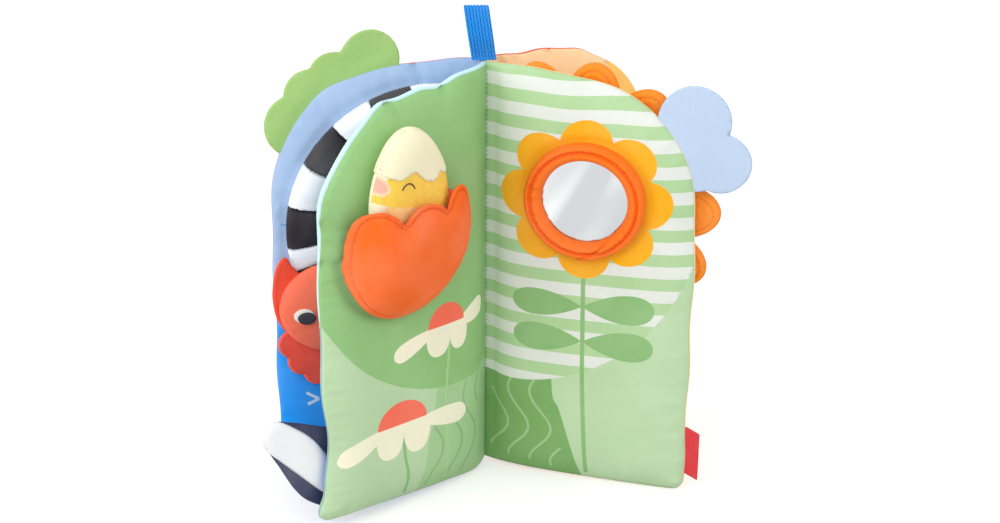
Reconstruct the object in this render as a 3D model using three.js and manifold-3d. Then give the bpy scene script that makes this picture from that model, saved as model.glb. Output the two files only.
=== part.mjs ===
// A baby's soft cloth book, standing half open: four padded leaves sewn to one upright spine.
// Millimetres, +Z up. The origin is the foot of the spine, and the reader sits on the -Y side.
// A place on a leaf is (along, height, proud): the distance from the spine measured on the cloth,
// the height above the floor, and the distance in front of the leaf's middle, towards the reader.
import * as THREE from 'three';
import { mergeVertices } from 'three/addons/utils/BufferGeometryUtils.js';
import Module from 'manifold-3d';

const wasm = await Module();
wasm.setup();

// Sizes of every leaf.
const LEAF_WIDTH = 114;
const LEAF_HEIGHT = 230;
const ARCH_DROP = 98;
const ARCH_POWER = 3.1;
const CORNER_RADIUS = 6;
const CLOTH = 1.2;
const LOFT = 6;
const LOFT_RUN = 9.8;
const GAP = 0.3;
const FILM = 0.4;

// The sewn gutter: four short arms round the spine, each ending in a thin fold that hinges a leaf.
// Arm and leaf both widen from the hinge line at the fold angle, so that the leaf can swing.
const GUTTER = 8;
const SPINE_RADIUS = 1.9;
const FOLD = { angle: 30, armAir: 0.1, armHalf: 0.08, leafAir: 0.35, leafCloth: 0.1 };

// The bare side of a fully padded leaf, measured from its middle, and the seat of what is sewn on it.
const FACE = GAP / 2 + LOFT + CLOTH;
const SEAT = FACE + GAP;

// How each leaf stands. The headings are degrees in front of the X axis, at the spine and farther out,
// and bend is the length over which the cloth turns from one to the other.
const LEFT_PAGE = { side: -1, rootHeading: 86, heading: 39.3, bend: 10.6 };
const RIGHT_PAGE = { side: 1, rootHeading: 37, heading: 13.8, bend: 19.9 };
const LEFT_COVER = { side: -1, rootHeading: -75, heading: 12.3, bend: 6.1 };
const RIGHT_COVER = { side: 1, rootHeading: -85, heading: -29, bend: 9.6 };

// Pieces on the left page.
const CHICK = { along: 70.5, foot: 150, tall: 65.5, halfWide: 24.6, halfDeep: 8.5, waistShare: 0.16 };
const SHELL = { hemShare: 0.65, tooth: 7.5, teeth: 5 };
const POCKET = { outer: 105.5, inner: 25, bottom: 112.5, top: 178.5, depth: 19.5, wall: 3.2 };
const BACK_PETAL = { along: 37.5, middle: 163, halfWide: 8.5, halfTall: 14, thick: 0.9 };
const WHALE = {
  tail: { along: 48, height: 31 }, bend: { along: 104, height: 22 }, nose: { along: 145, height: 61 },
  halfWide: 24, thick: 9, fullness: 0.55,
};
const BELLY = {
  tail: { along: 106, height: 23 }, bend: { along: 122, height: 38 }, setback: 1.2,
  halfWide: 9.2, thick: 2, fullness: 0.4,
};

// Pieces on the right page.
const MIRROR = { along: 57.5, height: 164, radius: 24, thick: 0.6 };
const RING = { inner: 21.7, outer: 31.8, tall: 6.2, lip: 1.5, groove: 1.3 };
const RUFF = {
  along: 47, height: 155, orbit: 59, reach: 19.5, halfWide: 13.1, thick: 5,
  petals: 9, firstAngle: 106.6, stepAngle: 26.2,
};
const RUFF_CENTRE = { aside: 3, halfWide: 34, halfTall: 38, thick: 4.5 };
const CLOUD = { anchorAngle: 29, thick: 1.6, seamGap: 0.45 };
const CLOUD_CROWN = { out: 5.9, up: 14.1, radius: 18.5 };
const CLOUD_SIDE = { out: 19.9, up: -6.9, radius: 15.6 };
const CLOUD_FOOT = { out: 7.4, up: -7.1, radius: 15.3 };
const TAG = { low: 10.5, high: 37.5, proud: 8, thick: 1.5, rootHalf: 0.3, seamGap: 0.5 };

// Pieces on the left cover.
const STRIPED = {
  along: 31.5, height: 143, outer: 76.5, wide: 14.6, thick: 6.6, rim: 1.4, tipThick: 2.2,
  firstAngle: 99.5, lastAngle: -26, sweepAngle: 17, thinFromShare: 0.6, thinToShare: 0.84,
};
const CRAB = { along: 83, height: 104, halfWide: 28.4, halfTall: 26, thick: 6, rim: 1.4, raise: 2.6 };
const CLAW = { out: 19.5, up: 3.5, halfWide: 14.5, halfTall: 23, tiltAngle: 12, thick: 1.6 };
const SKIRT = { up: -16, halfWide: 23.6, drop: 25.5, lobe: 8.4, lobes: 7, firstAngle: -15, thick: 1.8 };
const EYE = { out: 16, up: -6.3, halfWide: 5.6, halfTall: 4.4, thick: 0.8, seatGap: 0.6 };
const BUSH = { anchorAngle: 48.6, thick: 1.6, seamGap: 0.45 };
const BUSH_FOOT = { out: 11.2, up: -14.9, radius: 17 };
const BUSH_SIDE = { out: 3.7, up: 0.6, radius: 14 };
const BUSH_SHOULDER = { out: -8.3, up: 9.6, radius: 13.3 };
const BUSH_CROWN = { out: -26.8, up: 18.1, radius: 15.2 };
const BUSH_MIDDLE = { out: -8, up: -4, radius: 17 };

// The webbing loop on the spine.
const LOOP = {
  wide: 12.7, tall: 29.5, web: 1.2, stitched: 7, halfOpen: 3.6, lean: 4.2, foldHalf: 0.35, foldTall: 3,
  waist: 0.75, roundness: 0.8,
};

// The pocket's edge as Bezier stretches, from its outer shoulder over the mouth and round the bowl.
// Each place is a share across from the outer side and a share up from the bottom.
const POCKET_EDGE_SHARES = [
  [0, 0.6],
  [0, 1], [0.2, 1.036], [0.37, 0.826],
  [0.42, 0.932], [0.58, 0.932], [0.69, 0.871],
  [0.74, 0.931], [0.8, 1], [0.88, 1],
  [0.93, 0.94], [1, 0.718], [1, 0.6],
  [1, 0.27], [0.72, 0], [0.45, 0],
  [0.17, 0], [0, 0.27], [0, 0.6],
];

// The padded ring's two crowns and the groove between them: shares in from its outer edge and up.
const RING_CROWN_SHARES = {
  outerSide: [0.16, 0.86], outer: 0.3, groove: 0.45, inner: 0.62, innerSide: [0.88, 0.78],
};

// Rings of each pad, as shares of the way from its centre to its rim.
const TRIM_RING_SHARES = [0.5, 1];
const PAD_RING_SHARES = [0.4, 0.75, 0.93, 1];
const POCKET_RING_SHARES = [0.3, 0.55, 0.75, 0.9, 1];

// How thick a stuffed pad is at its sewn rim.
const RIM_SHARE = 0.35;

// Mesh fineness.
const PANEL_COLUMNS = 10;
const PANEL_ROWS = 12;
const PLAN_STEPS = 40;
const OUTLINE_POINTS = 64;
const ARM_STEPS = 6;
const LOOP_STEPS = 12;
const EGG_STEPS = 14;
const ROUND_STEPS = { spine: 12, egg: 22, small: 18, pocket: 44, wide: 28, mirror: 36, arch: 48 };
const STROKE_STEPS = 12;
const STRIPE_STEPS = 4;
const MERGE_DISTANCE = 1e-4;
const NUDGE_DEGREES = 0.5;

// How far a cutting shape runs past what it cuts.
const OVERRUN = 5;

const rad = THREE.MathUtils.degToRad;
const half = 0.5;

function headingAt(leaf, along) {
  return rad(leaf.heading + (leaf.rootHeading - leaf.heading) * Math.exp(-along / leaf.bend));
}

// A place on or off a leaf, as a point of the book.
function spot(leaf, along, height, proud) {
  const step = along / PLAN_STEPS;
  let x = 0;
  let y = 0;
  for (let i = 0; i < PLAN_STEPS; i += 1) {
    const heading = headingAt(leaf, (i + half) * step);
    x += Math.cos(heading) * step;
    y -= Math.sin(heading) * step;
  }
  const heading = headingAt(leaf, along);
  x -= Math.sin(heading) * proud;
  y -= Math.cos(heading) * proud;
  return new THREE.Vector3(leaf.side * x, y, height);
}

// The arched top edge, and the bottom edge with its rounded outer corner.
function archTop(along) {
  const share = Math.min(along / LEAF_WIDTH, 1);
  return LEAF_HEIGHT - ARCH_DROP * (1 - (1 - share ** ARCH_POWER) ** (1 / ARCH_POWER));
}

function archSlope(along) {
  const share = Math.min(along / LEAF_WIDTH, 1 - Number.EPSILON);
  const steepness = share ** (ARCH_POWER - 1) * (1 - share ** ARCH_POWER) ** (1 / ARCH_POWER - 1);
  return (ARCH_DROP / LEAF_WIDTH) * steepness;
}

function hemHeight(along) {
  const past = Math.max(along - (LEAF_WIDTH - CORNER_RADIUS), 0);
  return CORNER_RADIUS - Math.sqrt(Math.max(CORNER_RADIUS ** 2 - past ** 2, 0));
}

// The arch by angle: 0 at the outer side of the leaf, 90 at the spine.
function archPoint(degrees) {
  const along = LEAF_WIDTH * Math.cos(rad(degrees)) ** (2 / ARCH_POWER);
  const height = LEAF_HEIGHT - ARCH_DROP * (1 - Math.sin(rad(degrees)) ** (2 / ARCH_POWER));
  return new THREE.Vector2(along, height);
}

// How far the padding lifts the cloth: nothing at the seams, LOFT well inside them.
function loft(along, height) {
  const toTop = (archTop(along) - height) / Math.hypot(1, archSlope(along));
  const distances = [along - GUTTER, LEAF_WIDTH - along, height - hemHeight(along), toTop];
  return distances.reduce((lift, distance) => lift * (1 - Math.exp(-Math.max(distance, 0) / LOFT_RUN)), LOFT);
}

// Each panel thins to a fold where it meets the gutter.
function clothAt(along) {
  const run = along - GUTTER - FOLD.leafAir;
  return Math.min(FOLD.leafCloth + run * Math.tan(rad(FOLD.angle)), CLOTH);
}

function outside(along, height) {
  return GAP / 2 + loft(along, height) + CLOTH;
}

function evenCosines(count) {
  return Array.from({ length: count + 1 }, (unused, i) => (1 - Math.cos((Math.PI * i) / count)) / 2);
}

function evenShares(count) {
  return Array.from({ length: count + 1 }, (unused, i) => i / count);
}

// Faces that point out, whichever way round the leaf lies.
function closedGeometry(points, faces) {
  let volume = 0;
  for (const [a, b, c] of faces) {
    volume += points[a].dot(new THREE.Vector3().crossVectors(points[b], points[c]));
  }
  const ordered = volume > 0 ? faces : faces.map(([a, b, c]) => [a, c, b]);
  const geometry = new THREE.BufferGeometry().setFromPoints(points);
  geometry.setIndex(ordered.flat());
  geometry.computeVertexNormals();
  return geometry;
}

// A closed slab over a grid of shares. face(u, v, front) gives its two sides.
function gridSlab(uShares, vShares, face) {
  const points = [];
  const faces = [];
  const columns = uShares.length;
  const rows = vShares.length;
  for (const front of [false, true]) {
    for (const u of uShares) {
      for (const v of vShares) {
        points.push(face(u, v, front));
      }
    }
  }
  const at = (i, j, layer) => (layer * columns + i) * rows + j;
  const quad = (a, b, c, d) => faces.push([a, b, c], [a, c, d]);
  for (let i = 0; i + 1 < columns; i += 1) {
    for (let j = 0; j + 1 < rows; j += 1) {
      quad(at(i, j, 1), at(i + 1, j, 1), at(i + 1, j + 1, 1), at(i, j + 1, 1));
      quad(at(i, j, 0), at(i, j + 1, 0), at(i + 1, j + 1, 0), at(i + 1, j, 0));
    }
    quad(at(i, 0, 0), at(i + 1, 0, 0), at(i + 1, 0, 1), at(i, 0, 1));
    quad(at(i, rows - 1, 1), at(i + 1, rows - 1, 1), at(i + 1, rows - 1, 0), at(i, rows - 1, 0));
  }
  for (let j = 0; j + 1 < rows; j += 1) {
    quad(at(0, j, 0), at(0, j, 1), at(0, j + 1, 1), at(0, j + 1, 0));
    quad(at(columns - 1, j, 1), at(columns - 1, j, 0), at(columns - 1, j + 1, 0), at(columns - 1, j + 1, 1));
  }
  return closedGeometry(points, faces);
}

// A closed pad inside an outline of (along, height) points: rings of it shrink towards a centre.
// proud(place, share, front) gives how far each side stands proud, share being 1 on the rim.
function pad(leaf, outline, centre, ringShares, proud) {
  const points = [];
  const faces = [];
  const count = outline.length;
  for (const front of [false, true]) {
    points.push(spot(leaf, centre.x, centre.y, proud(centre, 0, front)));
    for (const share of ringShares) {
      for (const rim of outline) {
        const place = centre.clone().lerp(rim, share);
        points.push(spot(leaf, place.x, place.y, proud(place, share, front)));
      }
    }
  }
  const layerSize = 1 + ringShares.length * count;
  const at = (ring, i, layer) => layer * layerSize + 1 + ring * count + (i % count);
  for (let i = 0; i < count; i += 1) {
    faces.push([layerSize, at(0, i, 1), at(0, i + 1, 1)], [0, at(0, i + 1, 0), at(0, i, 0)]);
    for (let ring = 0; ring + 1 < ringShares.length; ring += 1) {
      const next = ring + 1;
      faces.push([at(ring, i, 1), at(next, i, 1), at(next, i + 1, 1)]);
      faces.push([at(ring, i, 1), at(next, i + 1, 1), at(ring, i + 1, 1)]);
      faces.push([at(ring, i, 0), at(next, i + 1, 0), at(next, i, 0)]);
      faces.push([at(ring, i, 0), at(ring, i + 1, 0), at(next, i + 1, 0)]);
    }
    const last = ringShares.length - 1;
    faces.push([at(last, i, 1), at(last, i, 0), at(last, i + 1, 0)]);
    faces.push([at(last, i, 1), at(last, i + 1, 0), at(last, i + 1, 1)]);
  }
  return closedGeometry(points, faces);
}

// A closed ring: a section of points carried round a circle of steps.
function hoop(steps, sectionSize, pointAt) {
  const points = [];
  const faces = [];
  for (let i = 0; i < steps; i += 1) {
    for (let j = 0; j < sectionSize; j += 1) {
      points.push(pointAt(i, j));
    }
  }
  const at = (i, j) => (i % steps) * sectionSize + (j % sectionSize);
  for (let i = 0; i < steps; i += 1) {
    for (let j = 0; j < sectionSize; j += 1) {
      faces.push([at(i, j), at(i + 1, j), at(i + 1, j + 1)], [at(i, j), at(i + 1, j + 1), at(i, j + 1)]);
    }
  }
  return closedGeometry(points, faces);
}

function ellipse(centre, halfWide, halfTall, count, tilt = 0) {
  return Array.from({ length: count }, (unused, i) => {
    const angle = (2 * Math.PI * i) / count;
    const point = new THREE.Vector2(halfWide * Math.cos(angle), halfTall * Math.sin(angle));
    return point.rotateAround(new THREE.Vector2(), rad(tilt)).add(centre);
  });
}

// The outline of overlapping discs, as seen from a centre inside them.
function discOutline(centre, discs, count) {
  return Array.from({ length: count }, (unused, i) => {
    const angle = (2 * Math.PI * i) / count;
    const ray = new THREE.Vector2(Math.cos(angle), Math.sin(angle));
    const reaches = discs.map(({ place, radius }) => {
      const offset = place.clone().sub(centre);
      const forward = offset.dot(ray);
      const aside = offset.cross(ray);
      return Math.abs(aside) < radius ? forward + Math.sqrt(radius ** 2 - aside ** 2) : 0;
    });
    return ray.multiplyScalar(Math.max(...reaches)).add(centre);
  });
}

// A rounded pad: thin at its rim, full in its middle.
function puffed(seat, rim, thick) {
  return (place, share, front) => (front ? seat + rim + (thick - rim) * Math.sqrt(1 - share ** 2) : seat);
}

// Joining and cutting.
function toSolid(geometry) {
  const bare = geometry.clone();
  bare.deleteAttribute('normal');
  bare.deleteAttribute('uv');
  const merged = mergeVertices(bare, MERGE_DISTANCE);
  const vertProperties = new Float32Array(merged.attributes.position.array);
  const triVerts = new Uint32Array(merged.index.array);
  return new wasm.Manifold(new wasm.Mesh({ numProp: 3, vertProperties, triVerts }));
}

function fromSolid(solid) {
  const { vertProperties, triVerts } = solid.getMesh();
  const geometry = new THREE.BufferGeometry();
  geometry.setAttribute('position', new THREE.BufferAttribute(new Float32Array(vertProperties), 3));
  geometry.setIndex(Array.from(triVerts));
  geometry.computeVertexNormals();
  return geometry;
}

// A flat shape in (along, height), thickened about the leaf's middle before it is laid on the leaf.
function plate(outline, thick) {
  const geometry = new THREE.ExtrudeGeometry(new THREE.Shape(outline), { depth: thick, bevelEnabled: false });
  return geometry.translate(0, 0, -thick / 2);
}

function laidOn(leaf, geometry) {
  const bare = geometry.clone().deleteAttribute('normal');
  const flat = mergeVertices(bare, MERGE_DISTANCE);
  const place = flat.attributes.position;
  const points = [];
  for (let i = 0; i < place.count; i += 1) {
    points.push(spot(leaf, place.getX(i), place.getY(i), place.getZ(i)));
  }
  const faces = [];
  for (let i = 0; i < flat.index.count; i += 3) {
    faces.push([flat.index.getX(i), flat.index.getX(i + 1), flat.index.getX(i + 2)]);
  }
  return closedGeometry(points, faces);
}

const book = new THREE.Group();

function add(name, geometry, colour, roughness = 0.85, metalness = 0) {
  const material = new THREE.MeshStandardMaterial({ color: colour, roughness, metalness });
  const mesh = new THREE.Mesh(geometry, material);
  mesh.name = name;
  book.add(mesh);
}

// The spine: a round core and four gutter arms that thin to folds.
function spineBinding() {
  const armLength = GUTTER - FOLD.armAir;
  const full = GAP / 2 + CLOTH;
  const taperRun = (full - FOLD.armHalf) / Math.tan(rad(FOLD.angle));
  const armHalf = (along) => {
    const share = Math.min((armLength - along) / taperRun, 1);
    return THREE.MathUtils.lerp(FOLD.armHalf, full, share);
  };
  const taperShare = 1 - taperRun / armLength;
  const shares = [...evenShares(ARM_STEPS).map((share) => share * taperShare), 1];
  const arm = (leaf) => toSolid(gridSlab(shares, [0, 1], (u, v, front) => {
    const along = u * armLength;
    return spot(leaf, along, v * LEAF_HEIGHT, front ? armHalf(along) : -armHalf(along));
  }));
  const core = new THREE.CylinderGeometry(SPINE_RADIUS, SPINE_RADIUS, LEAF_HEIGHT, ROUND_STEPS.spine);
  core.rotateX(Math.PI / 2).translate(0, 0, LEAF_HEIGHT / 2);
  const arms = [LEFT_PAGE, RIGHT_PAGE, LEFT_COVER, RIGHT_COVER].map(arm);
  return fromSolid(arms.reduce((joined, next) => joined.add(next), toSolid(core)));
}

// The webbing loop: two plies stitched at the foot, parted above it round an open bight.
function hangingLoop() {
  const foot = LEAF_HEIGHT + GAP;
  const bightFoot = LOOP.stitched;
  const bightTop = LOOP.tall - LOOP.web;
  const bulge = (share, halfOpen) => halfOpen * Math.sin(Math.PI * share ** LOOP.waist) ** LOOP.roundness;
  const side = (low, high, halfOpen, base) => evenShares(LOOP_STEPS).map((share) => {
    const height = THREE.MathUtils.lerp(low, high, share);
    return new THREE.Vector2(base * (1 - share) + bulge(share, halfOpen), height);
  });
  const outer = side(LOOP.foldTall, LOOP.tall, LOOP.halfOpen + LOOP.web, LOOP.web);
  const right = [new THREE.Vector2(LOOP.foldHalf, 0), ...outer];
  const mirrored = (list) => list.map((point) => new THREE.Vector2(-point.x, point.y)).reverse();
  const bight = side(bightFoot, bightTop, LOOP.halfOpen, 0);
  const shape = new THREE.Shape([...right, ...mirrored(right).slice(1)]);
  shape.holes.push(new THREE.Path([...bight, ...mirrored(bight).slice(1, -1)]));
  const geometry = new THREE.ExtrudeGeometry(shape, { depth: LOOP.wide, bevelEnabled: false });
  geometry.translate(0, 0, -LOOP.wide / 2);
  const place = geometry.attributes.position;
  for (let i = 0; i < place.count; i += 1) {
    const up = place.getY(i);
    place.setXYZ(i, place.getZ(i) - (LOOP.lean * up) / LOOP.tall, place.getX(i), foot + up);
  }
  return fromSolid(toSolid(geometry));
}

// The two cloth panels of a leaf and the batting between them.
const COLUMN_SHARES = evenCosines(PANEL_COLUMNS);
const ROW_SHARES = evenCosines(PANEL_ROWS);
const INNER_COLUMNS = COLUMN_SHARES.slice(2, -2);
const INNER_ROWS = ROW_SHARES.slice(2, -2);

function leafGrid(leaf, columns, rows, proud) {
  const start = GUTTER + FOLD.leafAir;
  return gridSlab(columns, rows, (u, v, front) => {
    const along = THREE.MathUtils.lerp(start, LEAF_WIDTH, u);
    const height = THREE.MathUtils.lerp(hemHeight(along), archTop(along), v);
    return spot(leaf, along, height, proud(along, height, front));
  });
}

function panel(leaf, facing) {
  return leafGrid(leaf, COLUMN_SHARES, ROW_SHARES, (along, height, front) => {
    const inner = GAP / 2 + loft(along, height);
    return facing * (front ? inner + clothAt(along) : inner);
  });
}

function batting(leaf, backLoss) {
  return leafGrid(leaf, INNER_COLUMNS, INNER_ROWS, (along, height, front) => {
    const fill = loft(along, height) - GAP / 2;
    return front ? fill : backLoss - fill;
  });
}

function crinkleFilm(leaf) {
  return leafGrid(leaf, INNER_COLUMNS, INNER_ROWS, (along, height, front) => {
    const fill = loft(along, height) - GAP / 2;
    return front ? FILM - fill : -fill;
  });
}

function addLeaf(leaf, names, colours, hasFilm) {
  add(names.front, panel(leaf, 1), colours.front);
  add(names.back, panel(leaf, -1), colours.back);
  add(names.batting, batting(leaf, hasFilm ? FILM + GAP : 0), 0xf4f2ec, 0.95);
  if (hasFilm) {
    add(names.film, crinkleFilm(leaf), 0xd9dde0, 0.3);
  }
}

// The egg chick: one egg, cut across by a zigzag into the chick below and the shell cap above.
function chickPieces() {
  const middle = CHICK.foot + CHICK.tall / 2;
  const seat = SEAT + CHICK.halfDeep;
  const profile = evenShares(EGG_STEPS).map((share) => {
    const angle = Math.PI * share;
    const radius = CHICK.halfWide * Math.sin(angle) * (1 + CHICK.waistShare * Math.cos(angle));
    return new THREE.Vector2(Math.max(radius, 0), (-CHICK.tall / 2) * Math.cos(angle));
  });
  const egg = new THREE.LatheGeometry(profile, ROUND_STEPS.egg);
  egg.scale(1, 1, CHICK.halfDeep / CHICK.halfWide);
  const rim = CHICK.tall * (SHELL.hemShare - half);
  const reach = CHICK.halfWide + OVERRUN;
  const zigzag = evenShares(2 * SHELL.teeth).map((share, i) => (
    new THREE.Vector2(THREE.MathUtils.lerp(-reach, reach, share), rim + (i % 2 ? SHELL.tooth : 0))
  ));
  const cap = (drop) => {
    const outline = [...zigzag.map((point) => new THREE.Vector2(point.x, point.y - drop))];
    outline.push(new THREE.Vector2(reach, CHICK.tall), new THREE.Vector2(-reach, CHICK.tall));
    return toSolid(plate(outline, 2 * (CHICK.halfDeep + OVERRUN)));
  };
  const whole = toSolid(egg);
  const lay = (solid) => laidOn(LEFT_PAGE, fromSolid(solid).translate(CHICK.along, middle, seat));
  return { body: lay(whole.subtract(cap(GAP))), shell: lay(whole.intersect(cap(0))) };
}

// The tulip pocket: three petals along an open mouth, sewn down round its bowl.
function pocketOutline() {
  const points = POCKET_EDGE_SHARES.map(([across, up]) => new THREE.Vector2(
    THREE.MathUtils.lerp(POCKET.outer, POCKET.inner, across),
    THREE.MathUtils.lerp(POCKET.bottom, POCKET.top, up),
  ));
  const edge = new THREE.CurvePath();
  for (let i = 0; i + 3 < points.length; i += 3) {
    edge.add(new THREE.CubicBezierCurve(...points.slice(i, i + 4)));
  }
  return edge.getSpacedPoints(ROUND_STEPS.pocket).slice(0, -1);
}

// How far the pocket bellies out: flat along its sewn bowl, deepest at its mouth.
function pocketLift(place) {
  const across = place.x > CHICK.along ? POCKET.outer - CHICK.along : CHICK.along - POCKET.inner;
  const aside = Math.min(Math.abs(place.x - CHICK.along) / across, 1);
  const up = THREE.MathUtils.clamp((place.y - POCKET.bottom) / (POCKET.top - POCKET.bottom), 0, 1);
  return POCKET.depth * (1 - aside ** 3) * (1 - (1 - up) ** 3);
}

function tulipPocket() {
  const corners = new THREE.Vector2(POCKET.inner + POCKET.outer, POCKET.bottom + POCKET.top);
  const middle = corners.multiplyScalar(half);
  return pad(LEFT_PAGE, pocketOutline(), middle, POCKET_RING_SHARES, (place, share, front) => {
    const lining = outside(place.x, place.y) + 2 * GAP + pocketLift(place);
    return front ? lining + POCKET.wall : lining;
  });
}

function backPetal() {
  const centre = new THREE.Vector2(BACK_PETAL.along, BACK_PETAL.middle);
  const outline = ellipse(centre, BACK_PETAL.halfWide, BACK_PETAL.halfTall, ROUND_STEPS.small);
  return pad(LEFT_PAGE, outline, centre, TRIM_RING_SHARES, (place, share, front) => (
    front ? SEAT + BACK_PETAL.thick : SEAT
  ));
}

// A stuffed stroke: a curve of (along, height) that swells and closes at both ends.
function strokeCurve(tail, bend, nose) {
  const points = [tail, bend, nose].map(({ along, height }) => new THREE.Vector2(along, height));
  return new THREE.QuadraticBezierCurve(...points);
}

function strokeOutline(curve, halfWide, fullness) {
  const edge = (facing) => evenCosines(STROKE_STEPS).map((share) => {
    const tangent = curve.getTangent(share);
    const width = facing * halfWide * (4 * share * (1 - share)) ** fullness;
    return curve.getPoint(share).add(new THREE.Vector2(-tangent.y, tangent.x).multiplyScalar(width));
  });
  return [...edge(1), ...edge(-1).reverse().slice(1, -1)];
}

function whale() {
  const curve = strokeCurve(WHALE.tail, WHALE.bend, WHALE.nose);
  const outline = strokeOutline(curve, WHALE.halfWide, WHALE.fullness);
  const lift = puffed(0, WHALE.thick * RIM_SHARE, WHALE.thick);
  return pad(LEFT_PAGE, outline, curve.getPoint(half), PAD_RING_SHARES, (place, share, front) => (
    -SEAT - (front ? 0 : lift(place, share, true))
  ));
}

// The white belly patch lies on the whale's near side, where the whale reaches past the page.
function belly() {
  const nose = { along: WHALE.nose.along - BELLY.setback, height: WHALE.nose.height - BELLY.setback };
  const curve = strokeCurve(BELLY.tail, BELLY.bend, nose);
  const outline = strokeOutline(curve, BELLY.halfWide, BELLY.fullness);
  const lift = puffed(GAP - SEAT, BELLY.thick * RIM_SHARE, BELLY.thick);
  return pad(LEFT_PAGE, outline, curve.getPoint(half), TRIM_RING_SHARES, lift);
}

// The mirror film, and the padded ring sewn over its rim.
function mirrorFilm() {
  const centre = new THREE.Vector2(MIRROR.along, MIRROR.height);
  const outline = ellipse(centre, MIRROR.radius, MIRROR.radius, ROUND_STEPS.mirror);
  return pad(RIGHT_PAGE, outline, centre, [1], (place, share, front) => (front ? SEAT + MIRROR.thick : SEAT));
}

function mirrorRing() {
  const over = GAP + MIRROR.thick;
  const crown = RING_CROWN_SHARES;
  const inFrom = (share) => THREE.MathUtils.lerp(RING.outer, RING.inner, share);
  const section = [
    [RING.inner, over], [MIRROR.radius + GAP / 2, over], [MIRROR.radius + 2 * GAP, 0],
    [RING.outer - RING.lip / 2, 0], [RING.outer, RING.lip],
    [inFrom(crown.outerSide[0]), crown.outerSide[1] * RING.tall], [inFrom(crown.outer), RING.tall],
    [inFrom(crown.groove), RING.tall - RING.groove], [inFrom(crown.inner), RING.tall],
    [inFrom(crown.innerSide[0]), crown.innerSide[1] * RING.tall], [RING.inner, RING.lip + over],
  ];
  return hoop(ROUND_STEPS.mirror, section.length, (i, j) => {
    const angle = (2 * Math.PI * i) / ROUND_STEPS.mirror;
    const [radius, lift] = section[j];
    const along = MIRROR.along + radius * Math.cos(angle);
    return spot(RIGHT_PAGE, along, MIRROR.height + radius * Math.sin(angle), SEAT + lift);
  });
}

// The ruff behind the right page: round padded petals about a plain centre.
function ruffPetal(index) {
  const angle = RUFF.firstAngle - index * RUFF.stepAngle;
  const outward = new THREE.Vector2(RUFF.orbit, 0).rotateAround(new THREE.Vector2(), rad(angle));
  const centre = outward.add(new THREE.Vector2(RUFF.along, RUFF.height));
  const outline = ellipse(centre, RUFF.reach, RUFF.halfWide, ROUND_STEPS.small, angle);
  const lift = puffed(0, RUFF.thick * RIM_SHARE, RUFF.thick);
  return pad(RIGHT_PAGE, outline, centre, TRIM_RING_SHARES, (place, share, front) => (
    -SEAT - (front ? 0 : lift(place, share, true))
  ));
}

function ruffCentre() {
  const centre = new THREE.Vector2(RUFF.along + RUFF_CENTRE.aside, RUFF.height);
  const outline = ellipse(centre, RUFF_CENTRE.halfWide, RUFF_CENTRE.halfTall, ROUND_STEPS.wide);
  const lift = puffed(0, RUFF_CENTRE.thick * RIM_SHARE, RUFF_CENTRE.thick);
  return pad(RIGHT_PAGE, outline, centre, PAD_RING_SHARES, (place, share, front) => (
    -SEAT - (front ? 0 : lift(place, share, true))
  ));
}

// A felt tab of round lobes, held in the arched seam of a leaf.
function leafFootprint(margin) {
  const arch = evenShares(ROUND_STEPS.arch).map((share) => {
    const degrees = 90 * share;
    const facing = share < half ? 1 : -1;
    const point = archPoint(degrees);
    const tangent = archPoint(degrees + facing * NUDGE_DEGREES).sub(point).multiplyScalar(facing).normalize();
    return point.add(new THREE.Vector2(tangent.y, -tangent.x).multiplyScalar(margin));
  });
  const base = [new THREE.Vector2(0, 0), new THREE.Vector2(LEAF_WIDTH + margin, 0)];
  return [...base, ...arch, new THREE.Vector2(0, LEAF_HEIGHT + margin)];
}

function feltTab(leaf, tab, lobes) {
  const anchor = archPoint(tab.anchorAngle);
  const discs = lobes.map(({ out, up, radius }) => (
    { place: anchor.clone().add(new THREE.Vector2(out, up)), radius }
  ));
  const outline = discOutline(anchor, discs, OUTLINE_POINTS);
  const footprint = toSolid(plate(leafFootprint(tab.seamGap), tab.thick + 2 * OVERRUN));
  return laidOn(leaf, fromSolid(toSolid(plate(outline, tab.thick)).subtract(footprint)));
}

function sideTag() {
  const root = LEAF_WIDTH + TAG.seamGap;
  const tip = root + TAG.proud;
  const shape = new THREE.Shape();
  shape.moveTo(root, -TAG.rootHalf);
  shape.lineTo(root + TAG.thick, -TAG.thick / 2);
  shape.lineTo(tip - TAG.thick / 2, -TAG.thick / 2);
  shape.absarc(tip - TAG.thick / 2, 0, TAG.thick / 2, -Math.PI / 2, Math.PI / 2, false);
  shape.lineTo(root + TAG.thick, TAG.thick / 2);
  shape.lineTo(root, TAG.rootHalf);
  const depth = TAG.high - TAG.low;
  const ribbon = new THREE.ExtrudeGeometry(shape, { depth, bevelEnabled: false, curveSegments: 6 });
  ribbon.rotateX(-Math.PI / 2).translate(0, TAG.low, 0);
  return laidOn(RIGHT_PAGE, fromSolid(toSolid(ribbon)));
}

// One piece of the black and white arch, domed across and thinning at its far tip.
const STRIPE_COUNT = Math.ceil((STRIPED.firstAngle - STRIPED.lastAngle) / STRIPED.sweepAngle);

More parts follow.
